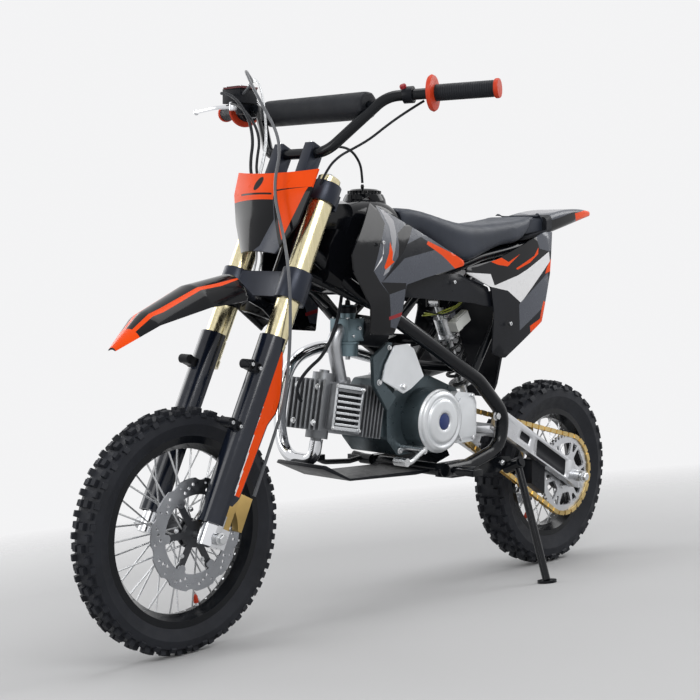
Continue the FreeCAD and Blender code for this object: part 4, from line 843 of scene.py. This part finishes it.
# Height up the fork and how far back a guard's wing reaches there, in millimetres
WING = [(404, 12), (392, 3), (370, -10), (318, -31), (296, -37), (268, -38), (240, -26), (160, -22),
        (84, -17), (66, -6)]
WING_ROWS, WING_COLUMNS = 48, 24


def wing_row(radius, back):
    """Even points, as x and y, from the slider's front round to the wing's rear edge."""
    turns = np.linspace(math.radians(28), math.pi / 2, 12)
    row = [(radius * math.cos(turn), FORK_SPREAD + radius * math.sin(turn)) for turn in turns]
    row = [spot for spot in row if spot[0] > back + 1] or [(back + 1.5, FORK_SPREAD + radius)]
    x, y = row[-1]
    row += [(x + (back - x) * k / 10, y - 1.5 * (k / 10) ** 2) for k in range(1, 11)]
    spots = np.array(row)
    length = np.concatenate([[0], np.cumsum(np.linalg.norm(np.diff(spots, axis=0), axis=1))])
    even = np.linspace(0, length[-1], WING_COLUMNS + 1)
    return zip(np.interp(even, length, spots[:, 0]), np.interp(even, length, spots[:, 1]))


def wing_finish(middle, heights, backs):
    """The field behind a pale line, which stops short of the wing's ends and of its rear edge."""
    low, high = 84, 384
    edge = np.interp(-middle.z, -heights, backs)
    line = np.interp(middle.z, [low, high], [-3, 6])
    if not low < middle.z < high or middle.x <= edge + 1.8 or middle.x >= line + 3:
        return 0
    return 2 if middle.x < line else 1


def rim_of(sheet):
    """The vertices round the edge of a sheet of rows, in order."""
    return (sheet[0] + [row[-1] for row in sheet[1:-1]] + sheet[-1][::-1]
            + [row[0] for row in sheet[-2:0:-1]])


def build_guard_wings():
    """Guards that wrap the sliders, with a coloured field on their outer wings."""
    outer_radius, inner_radius = 31.0, 28.6
    heights = np.linspace(WING[0][0], WING[-1][0], WING_ROWS)
    backs = np.interp(-heights, [-height for height, back in WING], [back for height, back in WING])
    for side, word in ((1, "left"), (-1, "right")):
        grid = bmesh.new()
        outer, inner = ([[grid.verts.new(mm(x, side * y, height)) for x, y in wing_row(radius, back)]
                         for height, back in zip(heights, backs)]
                        for radius in (outer_radius, inner_radius))
        for sheet in (outer, inner):
            for low, high in zip(sheet, sheet[1:]):
                for i in range(WING_COLUMNS):
                    face = grid.faces.new([low[i], low[i + 1], high[i + 1], high[i]])
                    if sheet is outer:
                        middle = face.calc_center_median() * 1000
                        face.material_index = wing_finish(middle, heights, backs)
        rim, back_rim = rim_of(outer), rim_of(inner)
        for i in range(len(rim)):
            j = (i + 1) % len(rim)
            grid.faces.new([rim[i], rim[j], back_rim[j], back_rim[i]])
        grid_piece(word + "_guard_wing", grid, ["guard_navy", "white", "orange"], "steering", FORK,
                   angle=40)


def build_fork_dress():
    """Top caps on the fork tubes, and two clamps on the front of each slider."""
    top = node_span("fork_tubes", FORK.inverted())[1].z
    grid = bmesh.new()
    for side in (1, -1):
        y = side * FORK_SPREAD / 1000
        at = Matrix.Translation((0, y, top))
        lathe(grid, [(0.0235, -0.004), (0.0235, 0.0012), (0.0215, 0.003), (0.012, 0.003)], at, 40, 0)
        lathe(grid, [(0.0125, 0.002), (0.0125, 0.008), (0.0108, 0.0095)], at, 6, 1)
        for height in (0.215, 0.335):
            for x in (0.03, 0.052):
                eye = facing(Vector((x, y + side * 0.004, height)), (0, side, 0))
                lathe(grid, [(0.0095, -0.013), (0.0095, 0.013)], eye, 24, 2)
                bolt(grid, Vector((x, y + side * 0.017, height)), (0, side, 0), 0.0075, 1, "socket")
            middle = Matrix.Translation((0.038, y + side * 0.004, height))
            block(grid, middle, (0.03, 0.026, 0.017), 2)
    grid_piece("fork_clamps", grid, ["gold", "zinc", "satin_black"], "steering", FORK)


def build_clamp_bolts():
    """Socket bolts at the backs of both fork clamps, and bolts on the bar mounts."""
    grid = bmesh.new()
    top = node_span("upper_clamp", FORK.inverted())[1].z
    for side in (1, -1):
        for x, heights in ((-0.0285, (0.497, 0.52, 0.543)), (-0.0275, (0.715, 0.735))):
            for height in heights:
                bolt(grid, Vector((x, side * 0.083, height)), (-1, side * 0.25, 0), 0.0085, 0, "socket")
        for x in (0.016, 0.042):
            bolt(grid, Vector((x, side * 0.045, top - 0.0005)), (0, 0, 1), 0.007, 0, "socket")
    grid_piece("clamp_bolts", grid, ["zinc"], "steering", FORK)


# Bolts on the engine, the frame and the panels: x, y, z and size across flats in millimetres. A
# socket head is named, and the others are hexagons.
ENGINE_BOLTS = [
    (626, 91, 492, 11), (664, 83, 578, 8), (696, 83, 505, 9), (400, 98, 458, 8), (448, 104, 362, 7),
    (466, 98, 440, 7), (398, 98, 362, 8), (470, 56.5, 346, 9), (600, 56.5, 346, 9),
    (612, 56.5, 486, 9), (500, 100.5, 299, 11), (450, 100.5, 300, 9), (290, 100.5, 292, 9),
    (325, 108.5, 405, 15), (300, 126, 618, 9, "socket"), (740, 132, 802, 8, "socket"),
    (480, 108, 716, 8, "socket"), (325, -108.5, 405, 15), (300, -126, 618, 9, "socket"),
    (740, -132, 802, 8, "socket"), (470, -112.5, 352, 8), (585, -112.5, 356, 8),
    (606, -112.5, 440, 8), (556, -112.5, 478, 8), (480, -112.5, 476, 8), (430, -112.5, 440, 8),
    (440, -112.5, 375, 8)]


def build_drum():
    """The flywheel cover: a bright face on the dark drum, with a plain coloured disc in its middle."""
    shell = Shell("flywheel_cover", "case_teal")
    shell.looks.append("bright_cast")
    face_start = 0.1035
    for face in shell.grid.faces:
        if face.calc_center_median().y > face_start:
            face.material_index = 1
    shell.place("drum_cover", "frame")
    grid = bmesh.new()
    at = facing(mm(CRANKSHAFT[0], 118.8, CRANKSHAFT[2]), (0, 1, 0))
    lathe(grid, [(0.0175, 0), (0.0175, 0.0022), (0.0165, 0.0027), (0, 0.0027)], at, 40)
    grid_piece("drum_badge", grid, ["blue_mark"], "frame")


def build_head_dress():
    """The dark floor of the fin cover's recess, and the bolts of the cover, the head and its front."""
    base = head_frame()
    grid = bmesh.new()
    block(grid, base @ Matrix.Translation(mm(252, 58.4, 0)), (0.07, 0.0006, 0.078))
    grid_piece("recess_floor", grid, ["satin_black"], "frame")
    rows = []
    for along, up in ((212, 44), (292, 44), (212, -44), (292, -44)):
        spot = base @ mm(along, 66, up) * 1000
        rows += sideways([(spot.x, 66, spot.z, 6.5), (spot.x, -48, spot.z, 8)])
    ahead = tuple(base.to_3x3() @ Vector((1, 0, 0)))
    for y in (30, -30):
        for up in (38, -38):
            spot = base @ mm(314, y, up) * 1000
            rows.append((spot.x, y, spot.z, ahead, 9))
    bolt_set("head_bolts", rows, "frame")


def build_carb_parts():
    """Cap, bowl ring, drain plug and screws of the carburettor."""
    x, y = CARBURETTOR
    grid = bmesh.new()
    lathe(grid, [(0.0185, 0), (0.0195, 0.002), (0.0195, 0.012), (0.016, 0.017), (0.006, 0.018),
                 (0.005, 0.027), (0, 0.028)], Matrix.Translation(mm(x, y, 652)), 32, 0)
    lathe(grid, [(0.0245, 0), (0.0255, 0.001), (0.0255, 0.005), (0.0245, 0.006)],
          Matrix.Translation(mm(x, y, 586)), 40, 1)
    lathe(grid, [(0.006, 0), (0.0055, 0.008), (0, 0.008)], facing(mm(x, y, 560), (0, 0, -1)), 6, 2)
    for along in (704, 744):
        for across in (36, -6):
            bolt(grid, mm(along, across, 640), (0, 0, 1), 0.006, 2, "socket")
    bolt(grid, mm(716, 42, 620), (0, 1, 0), 0.008, 2, "socket")
    bolt(grid, mm(734, 42, 604), (0, 1, 0), 0.006, 2, "socket")
    grid_piece("carb_parts", grid, ["satin_black", "carb", "zinc"], "frame")


def build_engine_dress():
    """The drum, the upright plate and its bracket, the bolts, and the parts of head and carburettor."""
    build_drum()
    plate("upright_plate", [(655, 582), (614, 584), (591, 572), (558, 511), (600, 486), (626, 477),
                            (693, 509), (683, 542)], 86, 5, "bright_cast", "frame")
    plate("upright_bracket", [(716, 560), (668, 590), (652, 588), (690, 512), (640, 470), (668, 440),
                              (712, 500)], 74, 9, "case_teal", "frame")
    bolt_set("engine_bolts", sideways(ENGINE_BOLTS), "frame")
    build_head_dress()
    build_carb_parts()


# Name, radius, finish, body and points of each hose and wire, in millimetres. The vent hose joins
# two bodies.
CABLES = [
    ("plate_hose_1", 3.4, "soft_rubber", "steering",
     [(838, -258, 1128), (846, -215, 1125), (856, -150, 1070), (868, -122, 1018), (882, -116, 975),
      (888, -108, 940), (884, -96, 905)]),
    ("plate_hose_2", 3.0, "soft_rubber", "steering",
     [(812, -262, 1108), (836, -210, 1105), (850, -140, 1060), (862, -108, 1017), (880, -98, 978),
      (888, -92, 944), (880, -84, 906)]),
    ("switch_wire", 2.6, "soft_rubber", "steering",
     [(742, 246, 1085), (764, 214, 1062), (786, 184, 1036), (806, 158, 1010), (828, 136, 992),
      (862, 126, 975), (882, 112, 950), (888, 98, 918)]),
    ("vent_hose", 2.8, "soft_rubber", None,
     [(661, 0, 931), (662, 0, 946), (668, 0, 975), (700, 0, 1004), (752, 0, 1006), (800, 0, 992),
      (826, 0, 958), (834, 0, 936)]),
    ("carb_cable", 2.6, "soft_rubber", "frame",
     [(722, 15, 676), (724, 16, 690), (722, 20, 704), (706, 26, 712), (690, 28, 716)]),
    ("spark_lead", 3.6, "soft_rubber", "frame",
     [(846, 0, 470), (862, 2, 486), (862, 8, 512), (840, 16, 540), (800, 22, 566), (760, 26, 640),
      (752, 26, 690)])]


def build_cables():
    for name, radius, look, body, points in CABLES:
        piece = tube_piece(name, points, radius, look, body)
        if not body:
            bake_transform(piece)
    for number, (y, look) in enumerate(((34, "wire_yellow"), (40, "wire_yellow"), (46, "soft_rubber"))):
        points = [(500, y, 640 + number * 6), (470, y + 8, 640), (440, y + 18, 652 - number * 5),
                  (404, y + 22, 660), (376, y + 14, 676), (350, y, 700)]
        tube_piece("harness_%d" % (number + 1), points, 1.8, look, "frame")
    grid = bmesh.new()
    tilt = Matrix.Rotation(0.5, 4, "Y")
    block(grid, Matrix.Translation(mm(398, 62, 628)) @ tilt, (0.046, 0.02, 0.03))
    bmesh.ops.bevel(grid, geom=list(grid.edges), offset=0.003, segments=2, affect="EDGES")
    block(grid, Matrix.Translation(mm(418, 62, 616)) @ tilt, (0.018, 0.024, 0.024))
    grid_piece("wire_connector", grid, ["connector"], "frame", angle=40)


def bolt_circle(count, radius, y, size, start=0):
    """Bolt rows evenly round a wheel's axis; lengths in millimetres, the start in degrees."""
    angles = [math.radians(360 / count * i + start) for i in range(count)]
    return sideways([(radius * math.cos(a), y, radius * math.sin(a), size) for a in angles])


def build_wheel_dress():
    """Spoke nipples, valves, disc and sprocket bolts, and the ends of the axles."""
    spokes = 36
    # Wheel, its frame, the radius of the rim's bed in metres and the valve's angle in degrees
    for name, at, radius, valve in (("front", FRONT_WHEEL, 0.169, -106),
                                    ("rear", REAR_WHEEL, 0.144, -60)):
        grid = bmesh.new()
        for i in range(spokes):
            angle = 2 * math.pi * (i + 0.5) / spokes
            out = Vector((math.cos(angle), 0.1 * (-1) ** i, math.sin(angle)))
            spot = Vector((math.cos(angle) * radius, 0.0, math.sin(angle) * radius))
            lathe(grid, [(0.0032, 0), (0.0032, 0.004), (0.0024, 0.006), (0.0024, 0.013)],
                  facing(spot + out * 0.004, -out), 8, 0)
        angle = math.radians(valve)
        out = Vector((math.cos(angle), 0, math.sin(angle)))
        stem = facing(out * radius, -out)
        lathe(grid, [(0.0036, 0), (0.0036, 0.016), (0.003, 0.017)], stem, 16, 1)
        lathe(grid, [(0.0048, 0.014), (0.005, 0.018), (0.005, 0.027), (0.0038, 0.03)], stem, 16, 2)
        grid_piece(name + "_nipples", grid, ["zinc", "steel", "orange_rubber"], name + "_wheel", at)
    bolt_set("front_disc_bolts", bolt_circle(6, 52, 52, 6.6, 15), "front_wheel", FRONT_WHEEL)
    bolt_set("sprocket_bolts", bolt_circle(6, 34, 75.2, 8), "rear_wheel", REAR_WHEEL)
    for name, y, z, size, body, at in (("front_axle_ends", 122, 0, 17, "steering", FORK),
                                       ("rear_axle_ends", 128, AXLE_HEIGHT, 18, "frame", BIKE)):
        bolt_set(name, sideways([(0, side * y, z, size) for side in (1, -1)]), body, at)


def build_swingarm_dress():
    """Dark inset panels in the silver arms, drawn along the arms from the rear axle."""
    shell = Shell("swingarm", "silver")
    arm = Vector((SWING_PIVOT[0], 0, SWING_PIVOT[1] - AXLE_HEIGHT)).normalized()
    up = Vector((-arm.z, 0, arm.x))
    shell.look_from(tuple(arm), tuple(up))
    axle_place = Vector((0, 0, AXLE_HEIGHT))
    along, across = axle_place.dot(arm), axle_place.dot(up)
    # Start, end and half the height of each inset, in millimetres
    for start, end, half in ((30, 205, 30), (210, 270, 16)):
        shell.paint("satin_black", [(along + start, across - half), (along + end, across - half),
                                    (along + end, across + half), (along + start, across + half)],
                    lambda middle, normal: abs(normal.y) > 0.8 and 0.085 < abs(middle.y) < 0.1065)
    shell.place("swingarm_arms", "frame")


add_stage()
dress_frame()
build_cap()
build_grips()
build_guard_wings()
build_fork_dress()
build_clamp_bolts()
build_softened()
build_control_dress()
build_engine_dress()
build_cables()
build_wheel_dress()
build_swingarm_dress()
build_shrouds()
build_side_panels()
Shell("air_box_covers", "satin_black").place("air_box_shells", "frame")
build_plate()
build_tail()
build_fender()
build_soft_pieces()
build_seat_base()
build_seat_end()
